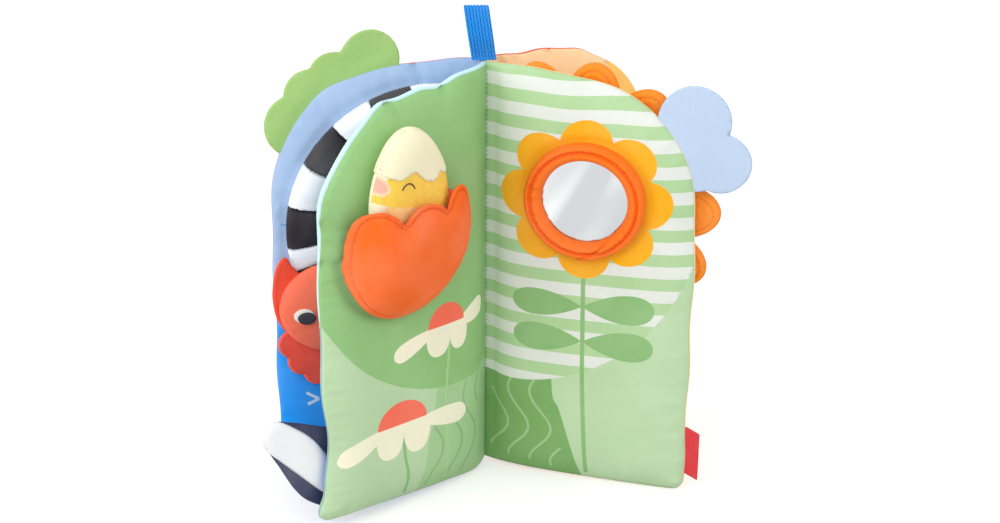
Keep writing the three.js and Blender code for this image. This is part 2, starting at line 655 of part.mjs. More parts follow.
function archSegment(index) {
  const seamAngle = THREE.MathUtils.radToDeg(GAP / STRIPED.outer) / 2;
  const start = STRIPED.firstAngle - index * STRIPED.sweepAngle;
  const end = Math.max(start - STRIPED.sweepAngle, STRIPED.lastAngle);
  return gridSlab(evenShares(STRIPE_STEPS), evenShares(STRIPE_STEPS), (u, v, front) => {
    const degrees = THREE.MathUtils.lerp(start - seamAngle, end + seamAngle, u);
    const radius = STRIPED.outer - v * STRIPED.wide;
    const along = STRIPED.along + radius * Math.cos(rad(degrees));
    const height = STRIPED.height + radius * Math.sin(rad(degrees));
    const share = (STRIPED.firstAngle - degrees) / (STRIPED.firstAngle - STRIPED.lastAngle);
    const thinning = THREE.MathUtils.smoothstep(share, STRIPED.thinFromShare, STRIPED.thinToShare);
    const full = THREE.MathUtils.lerp(STRIPED.thick, STRIPED.tipThick, thinning);
    const dome = Math.sqrt(Math.max(1 - (2 * v - 1) ** 2, 0));
    return spot(LEFT_COVER, along, height, SEAT + (front ? STRIPED.rim + (full - STRIPED.rim) * dome : 0));
  });
}

// The felt crab: two claws and a scalloped skirt under a padded head with two eyes.
const CRAB_CENTRE = new THREE.Vector2(CRAB.along, CRAB.height);
const CLAW_SEAT = SEAT + CRAB.raise;
const HEAD_SEAT = CLAW_SEAT + CLAW.thick + GAP;

function crabClaw(facing) {
  const centre = CRAB_CENTRE.clone().add(new THREE.Vector2(facing * CLAW.out, CLAW.up));
  const outline = ellipse(centre, CLAW.halfWide, CLAW.halfTall, ROUND_STEPS.small, facing * CLAW.tiltAngle);
  const inner = outline.map((point) => {
    const limit = CRAB.along + (facing * GAP) / 2;
    return new THREE.Vector2(facing > 0 ? Math.max(point.x, limit) : Math.min(point.x, limit), point.y);
  });
  return pad(LEFT_COVER, inner, centre, TRIM_RING_SHARES, (place, share, front) => (
    CLAW_SEAT + (front ? CLAW.thick : 0)
  ));
}

function crabSkirt() {
  const waist = CRAB_CENTRE.clone().add(new THREE.Vector2(0, SKIRT.up));
  const step = (180 + 2 * SKIRT.firstAngle) / (SKIRT.lobes - 1);
  const discs = Array.from({ length: SKIRT.lobes }, (unused, i) => {
    const angle = rad(SKIRT.firstAngle - i * step);
    const offset = new THREE.Vector2(SKIRT.halfWide * Math.cos(angle), SKIRT.drop * Math.sin(angle));
    return { place: waist.clone().add(offset), radius: SKIRT.lobe };
  });
  discs.push({ place: waist, radius: SKIRT.halfWide });
  const outline = discOutline(waist, discs, OUTLINE_POINTS);
  const seat = CLAW_SEAT - GAP - SKIRT.thick;
  return pad(LEFT_COVER, outline, waist, TRIM_RING_SHARES, (place, share, front) => (
    seat + (front ? SKIRT.thick : 0)
  ));
}

function crabHead() {
  const outline = ellipse(CRAB_CENTRE, CRAB.halfWide, CRAB.halfTall, ROUND_STEPS.wide);
  return pad(LEFT_COVER, outline, CRAB_CENTRE, PAD_RING_SHARES, puffed(HEAD_SEAT, CRAB.rim, CRAB.thick));
}

function crabEye(facing) {
  const centre = CRAB_CENTRE.clone().add(new THREE.Vector2(facing * EYE.out, EYE.up));
  const outline = ellipse(centre, EYE.halfWide, EYE.halfTall, ROUND_STEPS.small);
  const headFace = puffed(HEAD_SEAT, CRAB.rim, CRAB.thick);
  return pad(LEFT_COVER, outline, centre, TRIM_RING_SHARES, (place, share, front) => {
    const offset = place.clone().sub(CRAB_CENTRE);
    const reach = Math.hypot(offset.x / CRAB.halfWide, offset.y / CRAB.halfTall);
    return headFace(place, reach, true) + EYE.seatGap + (front ? EYE.thick : 0);
  });
}

add('spine_binding', spineBinding(), 0x9fc98a);
add('hanging_loop', hangingLoop(), 0x1e90f0);

const LEFT_PAGE_NAMES = { front: 'left_page_front', back: 'left_page_back', batting: 'left_page_batting' };
addLeaf(LEFT_PAGE, LEFT_PAGE_NAMES, { front: 0x93c47d, back: 0x9fd4ee }, false);
add('tulip_back_petal', backPetal(), 0xe2531f);
add('tulip_pocket', tulipPocket(), 0xff7a30);
const chick = chickPieces();
add('chick_body', chick.body, 0xffc040);
add('chick_shell', chick.shell, 0xf5f0d0);
add('whale_body', whale(), 0x3c4060);
add('whale_belly', belly(), 0xf2f2f5);

const RIGHT_PAGE_NAMES = {
  front: 'right_page_front',
  back: 'right_page_back',
  batting: 'right_page_batting',
  film: 'right_page_crinkle_film',
};
addLeaf(RIGHT_PAGE, RIGHT_PAGE_NAMES, { front: 0xb1d49d, back: 0xf7e3a0 }, true);
add('mirror_film', mirrorFilm(), 0xc8cacc, 0.08, 1);
add('mirror_ring', mirrorRing(), 0xff7520);
for (let i = 0; i < RUFF.petals; i += 1) {
  add(`ruff_petal_${i + 1}`, ruffPetal(i), 0xff8f1f);
}
add('ruff_centre', ruffCentre(), 0xffc24a);
add('cloud_tab', feltTab(RIGHT_PAGE, CLOUD, [CLOUD_CROWN, CLOUD_SIDE, CLOUD_FOOT]), 0xc9dbf4, 0.95);
add('side_tag', sideTag(), 0xd92b34);

const LEFT_COVER_NAMES = {
  front: 'left_cover_inner',
  back: 'left_cover_outer',
  batting: 'left_cover_batting',
  film: 'left_cover_crinkle_film',
};
addLeaf(LEFT_COVER, LEFT_COVER_NAMES, { front: 0xa8c4ec, back: 0xe8705a }, true);
for (let i = 0; i < STRIPE_COUNT; i += 1) {
  add(`arch_segment_${i + 1}`, archSegment(i), i % 2 ? 0x3a353c : 0xf0f1f6);
}
add('crab_claw_outer', crabClaw(1), 0xee4128, 0.95);
add('crab_claw_inner', crabClaw(-1), 0xee4128, 0.95);
add('crab_skirt', crabSkirt(), 0xe04a3c, 0.95);
add('crab_head', crabHead(), 0xff6b4f, 0.95);
add('crab_eye_outer', crabEye(1), 0x3a353c);
add('crab_eye_inner', crabEye(-1), 0x3a353c);
const bushLobes = [BUSH_FOOT, BUSH_SIDE, BUSH_SHOULDER, BUSH_CROWN, BUSH_MIDDLE];
add('bush_tab', feltTab(LEFT_COVER, BUSH, bushLobes), 0x9ccb74, 0.95);

const RIGHT_COVER_NAMES = {
  front: 'right_cover_inner',
  back: 'right_cover_outer',
  batting: 'right_cover_batting',
};
addLeaf(RIGHT_COVER, RIGHT_COVER_NAMES, { front: 0xffd9a5, back: 0xe8502f }, false);

export default book;
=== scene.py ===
"""Dresses a baby's soft cloth book: padded leaves, sewn toys, felt, thread, floor, lamps and camera.

Sizes are millimetres on a leaf, as (along, height, proud): the distance from the spine measured on
the cloth, the height above the floor, and the distance in front of the leaf's middle.
"""
import logging
import math
from dataclasses import dataclass, field
from enum import Enum
from functools import lru_cache
from typing import Callable, Sequence

import bpy
import numpy as np
from mathutils import Matrix, Vector
from mathutils.geometry import delaunay_2d_cdt

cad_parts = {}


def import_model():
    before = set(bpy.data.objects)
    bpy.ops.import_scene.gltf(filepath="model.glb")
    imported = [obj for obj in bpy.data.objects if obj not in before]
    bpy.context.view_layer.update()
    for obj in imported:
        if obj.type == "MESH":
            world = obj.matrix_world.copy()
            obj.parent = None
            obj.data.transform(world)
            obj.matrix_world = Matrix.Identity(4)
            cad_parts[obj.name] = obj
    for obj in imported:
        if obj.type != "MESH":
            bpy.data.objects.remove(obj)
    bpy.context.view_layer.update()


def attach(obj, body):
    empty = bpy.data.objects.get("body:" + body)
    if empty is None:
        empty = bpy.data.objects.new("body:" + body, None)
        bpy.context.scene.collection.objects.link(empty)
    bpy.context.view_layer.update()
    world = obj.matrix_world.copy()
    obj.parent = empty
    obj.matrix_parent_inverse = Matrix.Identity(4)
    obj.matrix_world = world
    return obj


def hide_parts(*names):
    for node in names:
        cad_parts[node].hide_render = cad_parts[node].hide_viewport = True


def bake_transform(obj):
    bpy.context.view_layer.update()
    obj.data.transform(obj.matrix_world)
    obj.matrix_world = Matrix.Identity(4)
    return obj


LOG = logging.getLogger("soft_book")
MM = 0.001

Array = np.ndarray
Piece = bpy.types.Object
Socket = bpy.types.NodeSocket
Profile = Callable[[Array, Array], Array]


def ramp(value: Array, low: float, high: float) -> Array:
    """Return a smooth step from 0 at low to 1 at high."""
    share = np.clip((np.asarray(value, float) - low) / (high - low), 0.0, 1.0)
    return share * share * (3.0 - 2.0 * share)


def turned(points: Array, degrees: float) -> Array:
    """Return flat points turned about the origin."""
    angle = math.radians(degrees)
    cos, sin = math.cos(angle), math.sin(angle)
    return points @ np.array([[cos, sin], [-sin, cos]])


def arc(centre: Sequence[float], radius: float, start: float, end: float, steps: int) -> Array:
    """Return points of a circle's arc, from one angle to another in degrees."""
    angles = np.radians(np.linspace(start, end, steps))
    return np.array(centre) + radius * np.column_stack([np.cos(angles), np.sin(angles)])


def ellipse(centre: Sequence[float], wide: float, tall: float, tilt: float = 0.0, steps: int = 48) -> Array:
    """Return a closed ellipse of flat points."""
    angles = np.linspace(0.0, 2.0 * math.pi, steps, endpoint=False)
    ring = np.column_stack([wide * np.cos(angles), tall * np.sin(angles)])
    return turned(ring, tilt) + np.array(centre)


def flowing(points: Sequence[Sequence[float]], steps: int = 8) -> Array:
    """Return a smooth line through a few places, by Catmull-Rom stretches."""
    places = np.array(points, float)
    ends = np.vstack([2 * places[0] - places[1], places, 2 * places[-1] - places[-2]])
    share = np.linspace(0.0, 1.0, steps, endpoint=False)[:, None]
    rows = []
    for i in range(len(places) - 1):
        a, b, c, d = ends[i:i + 4]
        rows.append(0.5 * (2 * b + (c - a) * share + (2 * a - 5 * b + 4 * c - d) * share ** 2
                           + (3 * b - a - 3 * c + d) * share ** 3))
    rows.append(places[-1:])
    return np.vstack(rows)


def normals_of(path: Array) -> Array:
    """Return the left-hand normal of a flat line at each of its points."""
    tangent = np.gradient(path, axis=0)
    tangent /= np.linalg.norm(tangent, axis=1, keepdims=True) + 1e-12
    return np.column_stack([-tangent[:, 1], tangent[:, 0]])


def ribbon(path: Array, width: float, tip: float = 1.0) -> Array:
    """Return the outline of a band along a line, narrowed to the tip share at its end."""
    share = np.linspace(1.0, tip, len(path))[:, None]
    side = normals_of(path) * width / 2.0 * share
    return np.vstack([path + side, (path - side)[::-1]])


def petal(root: Sequence[float], tip: Sequence[float], width: float, widest: float = 0.66,
          stub: float = 0.0) -> Array:
    """Return a petal that starts as a point at its root and ends round.

    Args:
        root: Where the petal starts.
        tip: Where it ends.
        width: How wide it is at its widest.
        widest: The share of its length at which that is.
        stub: How wide it is at its root, as a share of its width.
    """
    root_place, tip_place = np.array(root, float), np.array(tip, float)
    along = tip_place - root_place
    aside = np.array([-along[1], along[0]]) / np.linalg.norm(along) * width / 2.0
    share = np.concatenate([np.linspace(0.0, widest, 9)[:-1],
                            widest + (1.0 - widest) * np.sin(np.linspace(0.0, math.pi / 2.0, 9))])
    rise = stub + (1.0 - stub) * np.sin(math.pi / 2.0 * np.minimum(share / widest, 1.0)) ** 0.9
    fall = np.sqrt(np.clip(1.0 - (np.maximum(share - widest, 0.0) / (1.0 - widest)) ** 2.3, 0.0, 1.0))
    swell = (rise * fall)[:, None] * aside
    centre = root_place + share[:, None] * along
    return np.vstack([centre + swell, (centre - swell)[-2:0 if stub == 0.0 else None:-1]])


def lobe(start: Sequence[float], end: Sequence[float], depth: float) -> Array:
    """Return a round lobe that hangs below the line between two places."""
    first, last = np.array(start, float), np.array(end, float)
    turn = np.linspace(0.0, math.pi, 15)[:, None]
    across = np.sign(np.cos(turn)) * np.abs(np.cos(turn)) ** 0.85
    return (first + last) / 2.0 + (first - last) / 2.0 * across - np.array([0.0, depth]) * np.sin(turn)


def run_of(path: Array) -> Array:
    """Return how far along a line each of its points is."""
    return np.concatenate([[0.0], np.cumsum(np.linalg.norm(np.diff(path, axis=0), axis=1))])


def read_along(at: Array, run: Array, values: Array) -> Array:
    """Return rows of values between a line's points, at distances along it."""
    return np.column_stack([np.interp(at, run, column) for column in values.T])


def rounded(share: Array) -> Array:
    """Return the rise of a quarter round: 0 at 0, and 1 from 1 on."""
    return np.sqrt(1.0 - (1.0 - np.clip(share, 0.0, 1.0)) ** 2)


def spaced(path: Array, spacing: float, closed: bool = False) -> Array:
    """Return a line laid out again with even steps of about the spacing."""
    full = np.vstack([path, path[:1]]) if closed else path
    run = run_of(full)
    at = np.linspace(0.0, run[-1], max(int(round(run[-1] / spacing)), 3) + 1)
    return read_along(at[:-1] if closed else at, run, full)


def area_of(ring: Array) -> float:
    """Return the area in a closed outline, negative where it runs clockwise."""
    x, y = ring[:, 0], ring[:, 1]
    return float(0.5 * np.sum(x * np.roll(y, -1) - np.roll(x, -1) * y))


def leftward(ring: Array) -> Array:
    """Return a closed outline that runs counter-clockwise."""
    return ring if area_of(ring) > 0 else ring[::-1]


def evened(ring: Array, spacing: float) -> Array:
    """Return a closed outline whose long stretches are divided and whose corners stay."""
    rows = []
    for start, end in zip(ring, np.roll(ring, -1, axis=0)):
        count = max(int(np.linalg.norm(end - start) / spacing), 1)
        rows.append(start + (end - start) * np.linspace(0.0, 1.0, count, endpoint=False)[:, None])
    return np.vstack(rows)


def inside(points: Array, polygon: Array) -> Array:
    """Say which points lie inside a closed polygon."""
    result = np.zeros(len(points), bool)
    x, y = points.T
    for (ax, ay), (bx, by) in zip(polygon, np.roll(polygon, -1, axis=0)):
        if ay != by:
            result ^= ((ay > y) != (by > y)) & (x < (bx - ax) * (y - ay) / (by - ay) + ax)
    return result


def line_distance(points: Array, path: Array, closed: bool = True) -> tuple[Array, Array]:
    """Measure points from a line.

    Args:
        points: Flat places.
        path: The line's points.
        closed: Whether its last point joins its first.

    Returns:
        How far each place is from the line, and how far along the line its nearest point is.
    """
    full = np.vstack([path, path[:1]]) if closed else path
    start, step = full[:-1], np.diff(full, axis=0)
    length2 = (step ** 2).sum(axis=1) + 1e-12
    run = np.concatenate([[0.0], np.cumsum(np.sqrt(length2))])[:-1]
    found = []
    for first in range(0, max(len(points), 1), 2000):
        chunk = points[first:first + 2000, None, :]
        share = np.clip(((chunk - start) * step).sum(axis=2) / length2, 0.0, 1.0)
        gap = np.linalg.norm(chunk - (start + share[:, :, None] * step), axis=2)
        best = gap.argmin(axis=1)
        rows = np.arange(len(best))
        found.append((gap[rows, best], run[best] + share[rows, best] * np.sqrt(length2[best])))
    distance, along = (np.concatenate(part) for part in zip(*found))
    return distance, along


def drawn_in(ring: Array, outline: Array, inset: float, least: float) -> Array:
    """Return a ring's points moved inward, without those that then lie too near the outline.

    Args:
        ring: Points that follow the outline, counter-clockwise.
        outline: The closed outline.
        inset: How far they move.
        least: The share of that at which a point is still far enough from the outline.
    """
    inner = ring + normals_of(np.vstack([ring[-1:], ring, ring[:1]]))[1:-1] * inset
    return inner[(line_distance(inner, outline)[0] > inset * least) & inside(inner, outline)]


def stitch_line(outline: Array, inset: float) -> Array:
    """Return the line of stitches inside a closed outline."""
    outline = leftward(outline)
    inner = drawn_in(outline, outline, inset, 0.96)
    return spaced(np.vstack([inner, inner[:1]]), 0.8)


def lobed(centre: Array, lobes: Sequence[tuple[float, float, float]], steps: int) -> Array:
    """Return the closed outline of round lobes about a centre.

    Args:
        centre: The centre, which lies in them all or behind them.
        lobes: Each lobe's place from the centre, and its radius.
        steps: How many rays from the centre find the outline.
    """
    rays = arc((0.0, 0.0), 1.0, 0.0, 360.0, steps + 1)[:-1]
    reach = np.zeros(steps)
    for out, up, radius in lobes:
        aside = rays[:, 1] * out - rays[:, 0] * up
        far = rays @ np.array([out, up]) + np.sqrt(np.maximum(radius ** 2 - aside ** 2, 0.0))
        reach = np.maximum(reach, np.where(np.abs(aside) < radius, far, 0.0))
    return spaced(centre + rays * reach[:, None], 1.4, closed=True)


def gathers(along: Array, inward: Array, total: float, size: float, pitch: float, reach: float,
            seed: int) -> Array:
    """Return the little puckers that a seam draws into cloth.

    Args:
        along: How far along the seam each place is.
        inward: How far from the seam it is.
        total: The seam's whole length.
        size: How high the puckers stand.
        pitch: Their mean spacing.
        reach: How far in they fade.
        seed: Which draw of puckers this seam has.
    """
    draw = np.random.default_rng(seed)
    waves = np.zeros(np.shape(along))
    for _ in range(5):
        count = max(round(total / (pitch * draw.uniform(0.6, 1.8))), 1)
        waves += draw.uniform(0.4, 1.0) * np.cos(2 * math.pi * (count * along / total + draw.uniform()))
    return size * waves / 2.2 * (1.0 - np.exp(-inward / 0.9)) * np.exp(-inward / reach)


@dataclass(frozen=True)
class Leaf:
    """How one leaf stands: its body, its side of the spine, and how its plan curves."""

    body: str
    side: int
    root_heading: float
    heading: float
    bend: float

    def lay(self, flat: Array) -> Array:
        """Return the places of the book, in metres, of (along, height, proud) rows."""
        runs, xs, ys, headings = plan_of(self)
        along = flat[:, 0]
        x, y = np.interp(along, runs, xs), np.interp(along, runs, ys)
        heading = np.interp(along, runs, headings)
        x = x - np.sin(heading) * flat[:, 2]
        y = y - np.cos(heading) * flat[:, 2]
        return np.column_stack([self.side * x, y, flat[:, 1]]) * MM

    def spot(self, along: float, height: float, proud: float) -> Vector:
        """Return one place of the book, in metres."""
        return Vector(self.lay(np.array([[along, height, proud]], float))[0])


@lru_cache(maxsize=None)
def plan_of(leaf: Leaf) -> tuple[Array, Array, Array, Array]:
    """Return a leaf's plan as runs from the spine, their x and y, and the heading there."""
    step = 0.25
    runs = np.arange(-12.0, 180.0, step)

    def heading(along: Array) -> Array:
        """Return which way the leaf heads at runs from the spine."""
        return np.radians(leaf.heading + (leaf.root_heading - leaf.heading) * np.exp(-along / leaf.bend))

    middle = heading(runs + step / 2.0)
    x, y = (np.concatenate([[0.0], np.cumsum(part * step)])[:-1]
            for part in (np.cos(middle), -np.sin(middle)))
    return runs, x - np.interp(0.0, runs, x), y - np.interp(0.0, runs, y), heading(runs)


LEFT_PAGE = Leaf("left_page", -1, 86.0, 39.3, 10.6)
RIGHT_PAGE = Leaf("right_page", 1, 37.0, 13.8, 19.9)
LEFT_COVER = Leaf("left_cover", -1, -75.0, 12.3, 6.1)
RIGHT_COVER = Leaf("right_cover", 1, -85.0, -29.0, 9.6)

WIDTH = 114.0
HEIGHT = 230.0
ARCH_DROP = 98.0
ARCH_POWER = 3.1
CORNER = 6.0
EDGE = 1.35
LOFT = 6.0
GUTTER = 8.0
SEAT = 7.65
CHICK_ALONG = 70.5


def arch_point(degrees: Array) -> Array:
    """Return places on the arched edge, by angle: 0 at the outer side and 90 at the spine."""
    angle = np.radians(np.asarray(degrees, float))
    cos = np.maximum(np.cos(angle), 0.0)
    along = WIDTH * cos ** (2.0 / ARCH_POWER)
    height = HEIGHT - ARCH_DROP * (1.0 - np.sin(angle) ** (2.0 / ARCH_POWER))
    return np.column_stack([along, height])


def leaf_seam(inset: float = 0.0, start: float = 0.0, spacing: float = 2.2) -> Array:
    """Return the sewn edge of a leaf, from the spine's foot round to the top of the spine.

    Args:
        inset: How far inside the edge the line runs.
        start: Where it starts and ends, along the leaf.
        spacing: The step between its points.
    """
    foot = np.array([[start, inset], [WIDTH - CORNER, inset]])
    corner = arc((WIDTH - CORNER, CORNER), CORNER - inset, -90.0, 0.0, 8)
    arch = arch_point(np.linspace(0.0, 90.0, 900))
    arch = arch + normals_of(arch) * inset
    rest = np.vstack([corner[-1:], arch[arch[:, 0] > start], [[start, HEIGHT - inset]]])
    return np.vstack([spaced(foot, spacing)[:-1], corner[:-1], spaced(rest, spacing)])


def leaf_outline(spacing: float) -> Array:
    """Return the closed outline of a leaf, down the spine too."""
    spine_side = spaced(np.array([[0.0, HEIGHT], [0.0, 0.0]]), spacing)[1:-1]
    return np.vstack([leaf_seam(spacing=spacing), spine_side])


def past_seam(points: Array) -> Array:
    """Return how far flat places lie outside a leaf's sewn edge, negative inside it."""
    seam = leaf_seam(start=-GUTTER)
    within = inside(points, np.vstack([seam, [[-GUTTER, 0.0]]]))
    return np.where(within, -1.0, 1.0) * line_distance(points, seam, False)[0]


@dataclass(frozen=True)
class Print:
    """One printed or pieced patch: its outline and the finish it has."""

    outline: Array
    finish: str


def printed(finish: str, *outlines: Array) -> list[Print]:
    """Return patches of one finish."""
    return [Print(outline, finish) for outline in outlines]


@dataclass
class FlatCut:
    """A flat shape filled with triangles, before it is laid on a leaf."""

    points: Array
    faces: Array
    sources: list[set[int]]
    inward: Array

    @property
    def rim(self) -> Array:
        """Which points lie on the outline."""
        return self.inward < 1e-4

    def topmost(self, numbers: Sequence[int]) -> Array:
        """Return which of the numbered prints lies uppermost on each face.

        Args:
            numbers: The prints that count, from the undermost up.

        Returns:
            One more than the print's place in numbers, or 0 where none lies on the face.
        """
        ranks = {number: rank + 1 for rank, number in enumerate(numbers)}
        return np.array([max(ranks.get(s, 0) for s in source) for source in self.sources])


def trimmed(points: Array, faces: Array) -> tuple[Array, Array]:
    """Return the points that some triangles use, and the triangles numbered by them."""
    used, compact = np.unique(faces, return_inverse=True)
    return points[used], compact.reshape(-1, 3)


def cut_out(outline: Array, spacing: float, prints: Sequence[Array] = (),
            rows: Sequence[float] = ()) -> FlatCut:
    """Fill an outline with even triangles that keep the edges of its prints.

    Args:
        outline: The closed outline.
        spacing: The size of the triangles.
        prints: Closed outlines, each lying over the ones before it.
        rows: Distances inside the outline at which a row of points follows it.

    Returns:
        The flat cut. The outline is number 0, and the prints are 1 and up.
    """
    outline = leftward(outline)
    edges = [leftward(evened(edge, spacing)) for edge in prints]
    low, high = outline.min(axis=0), outline.max(axis=0) + spacing
    across = np.arange(low[0], high[0], spacing)
    heights = np.arange(low[1], high[1], spacing * math.sqrt(3.0) / 2.0)
    points = np.vstack([np.column_stack([across + k % 2 * spacing / 2.0, np.full(len(across), height)])
                        for k, height in enumerate(heights)])
    points = points[inside(points, outline)]
    points = points[line_distance(points, outline)[0] > max(rows, default=0.0) + spacing * 0.5]
    ring = spaced(outline, spacing, closed=True)
    points = np.vstack([points] + [drawn_in(ring, outline, row, 0.93) for row in rows])
    for edge in edges:
        points = points[line_distance(points, edge)[0] > spacing * 0.3]
    vertices, rings = [], []
    for edge in [outline] + edges:
        rings.append(list(range(len(vertices), len(vertices) + len(edge))))
        vertices.extend(Vector(p) for p in edge)
    vertices.extend(Vector(p) for p in points)
    places, _, found, _, _, sources = delaunay_2d_cdt(vertices, [], rings, 1, 1e-5, True)
    kept = [(face, set(source)) for face, source in zip(found, sources) if 0 in source and len(face) == 3]
    flat, triangles = np.array([list(p) for p in places]), np.array([face for face, _ in kept])
    first, second = (flat[triangles[:, k]] - flat[triangles[:, 0]] for k in (1, 2))
    clockwise = first[:, 0] * second[:, 1] - first[:, 1] * second[:, 0] < 0
    triangles[clockwise] = triangles[clockwise][:, ::-1]
    flat, triangles = trimmed(flat, triangles)
    return FlatCut(flat, triangles, [source for _, source in kept], line_distance(flat, outline)[0])


def quilted(cut: FlatCut, places: Array, high: Array, low: Array) -> tuple[Array, Array, Array]:
    """Close a flat cut into a pad whose two faces meet at its rim.

    Args:
        cut: The flat cut.
        places: Where its points lie on the leaf.
        high: How far the upper face stands from the leaf's middle at each of them.
        low: The same for the under face.

    Returns:
        The pad's points, its triangles, and the number of each point's twin on the under face.
    """
    inner = ~cut.rim
    twin = np.arange(len(places))
    twin[inner] = len(places) + np.arange(inner.sum())
    high = np.where(cut.rim, (high + low) / 2.0, high)
    flat = np.vstack([np.column_stack([places, high]), np.column_stack([places, low])[inner]])
    return flat, np.vstack([cut.faces, twin[cut.faces][:, ::-1]]), twin


@dataclass
class Creases:
    """The fine relief of a stuffed leaf's cloth on its two sides, on an even grid."""

    cell: float
    sides: dict[int, Array]

    def at(self, points: Array, facing: int) -> Array:
        """Return the relief at flat places, by the grid's four nearest values."""
        grid = self.sides[facing]
        u = np.clip(points[:, 0] / self.cell, 0.0, grid.shape[0] - 1.001)
        v = np.clip(points[:, 1] / self.cell, 0.0, grid.shape[1] - 1.001)
        i, j = u.astype(int), v.astype(int)
        s, t = u - i, v - j
        low = grid[i, j] * (1 - t) + grid[i, j + 1] * t
        high = grid[i + 1, j] * (1 - t) + grid[i + 1, j + 1] * t
        return low * (1 - s) + high * s


def smoothed(values: Array, edges: Array, rounds: int) -> Array:
    """Return values averaged with their neighbours, over and over."""
    count = np.bincount(edges.ravel(), minlength=len(values)) + 1.0
    result = values.copy()
    for _ in range(rounds):
        total = result + np.bincount(edges[:, 0], result[edges[:, 1]], len(values))
        total += np.bincount(edges[:, 1], result[edges[:, 0]], len(values))
        result = total / count
    return result


@dataclass(frozen=True)
class Inflation:
    """How the cloth simulation stuffs a flat pillow: its push, its slack and its length."""

    push: float
    slack: float
    frames: int
    bending: float
    scale: float = 0.01

    def run(self, points: Array, faces: Array, pinned: Array) -> Array:
        """Stuff a closed mesh whose seam is held.

        Args:
            points: The pillow's points, in millimetres.
            faces: Its triangles.
            pinned: The numbers of the points on its seam.

        Returns:
            The points after the last frame.
        """
        mesh = bpy.data.meshes.new("stuffing")
        mesh.from_pydata((points * self.scale).tolist(), [], faces.tolist())
        pillow = added("stuffing", mesh)
        pillow.vertex_groups.new(name="seam").add([int(i) for i in pinned], 1.0, "REPLACE")
        cloth = pillow.modifiers.new("Cloth", "CLOTH")
        for name, value in (("quality", 5), ("mass", 0.25), ("tension_stiffness", 12.0),
                            ("compression_stiffness", 12.0), ("shear_stiffness", 4.0),
                            ("bending_stiffness", self.bending), ("use_pressure", True),
                            ("uniform_pressure_force", self.push), ("vertex_group_mass", "seam"),
                            ("shrink_min", -self.slack)):
            setattr(cloth.settings, name, value)
        cloth.settings.effector_weights.gravity = 0.0
        cloth.collision_settings.use_collision = False
        cloth.point_cache.frame_start, cloth.point_cache.frame_end = 1, self.frames
        for frame_number in range(1, self.frames + 1):
            bpy.context.scene.frame_set(frame_number)
        result = np.empty(len(points) * 3)
        pillow.evaluated_get(bpy.context.evaluated_depsgraph_get()).data.vertices.foreach_get("co", result)
        bpy.context.scene.frame_set(1)
        bpy.data.objects.remove(pillow)
        bpy.data.meshes.remove(mesh)
        return result.reshape(-1, 3) / self.scale


def leaf_creases(inflation: Inflation, spacing: float, height: float) -> Creases:
    """Stuff a flat leaf and keep the fine relief of its two sides.

    Args:
        inflation: How it is stuffed.
        spacing: The size of its triangles.
        height: How high the strongest creases stand.
    """
    cell = 2.0
    shape = (int(WIDTH / cell) + 2, int(HEIGHT / cell) + 2)
    cut = cut_out(leaf_outline(spacing), spacing)
    start = np.full(len(cut.points), 0.6)
    flat, faces, twin = quilted(cut, cut.points, start, -start)
    stuffed = inflation.run(flat, faces, np.flatnonzero(cut.rim))
    edges = np.vstack([cut.faces[:, pair] for pair in ([0, 1], [1, 2], [2, 0])])
    edges = np.unique(np.sort(edges, axis=1), axis=0)
    grid = np.meshgrid(*(np.arange(count) * cell for count in shape), indexing="ij")
    cells = np.stack(grid, axis=-1).reshape(-1, 2)
    sides = {}
    for facing, numbers in ((1, np.arange(len(cut.points))), (-1, twin)):
        rise = facing * stuffed[numbers, 2]
        relief = smoothed(rise, edges, 1) - smoothed(rise, edges, 70)
        relief *= height / (np.percentile(np.abs(relief), 98) + 1e-9)
        relief = np.clip(relief, -1.6 * height, 1.6 * height) * ramp(cut.inward, 0.0, 5.0)
        values = np.empty(len(cells))
        for first in range(0, len(cells), 500):
            gap = ((cells[first:first + 500, None] - cut.points) ** 2).sum(axis=2)
            near = np.argpartition(gap, 3, axis=1)[:, :4]
            weight = 1.0 / (np.take_along_axis(gap, near, axis=1) + 0.3)
            values[first:first + 500] = (weight * relief[near]).sum(axis=1) / weight.sum(axis=1)
        sides[facing] = values.reshape(shape)
        LOG.info("creases facing %+d stand up to %.2f mm", facing, np.abs(values).max())
    return Creases(cell, sides)


@dataclass(frozen=True)
class Dent:
    """A line that something is sewn down along, where the padding of a leaf's front is drawn in."""

    path: Array
    depth: float
    width: float
    closed: bool = False
    fades: bool = False

    def at(self, points: Array) -> Array:
        """Return how far the cloth is drawn in at flat places."""
        gap, along = line_distance(points, self.path, self.closed)
        depth = self.depth * np.exp(-(gap / self.width) ** 2)
        return depth * (1.0 - along / run_of(self.path)[-1]) if self.fades else depth


def pleat(depth: float, *places: tuple[float, float]) -> Dent:
    """Return a pleat in a leaf's cloth that starts at its seam and fades out."""
    return Dent(np.array(places), depth, 2.2, fades=True)


@dataclass(frozen=True)
class Pull:
    """A place where a leaf's cloth is drawn out or in: its place, how wide it is and how far it goes."""

    place: tuple[float, float]
    reach: float
    push: tuple[float, float]

    def at(self, points: Array) -> Array:
        """Return how far flat places are moved."""
        gap = np.linalg.norm(points - np.array(self.place), axis=1)
        return np.exp(-(gap / self.reach) ** 2)[:, None] * np.array(self.push)


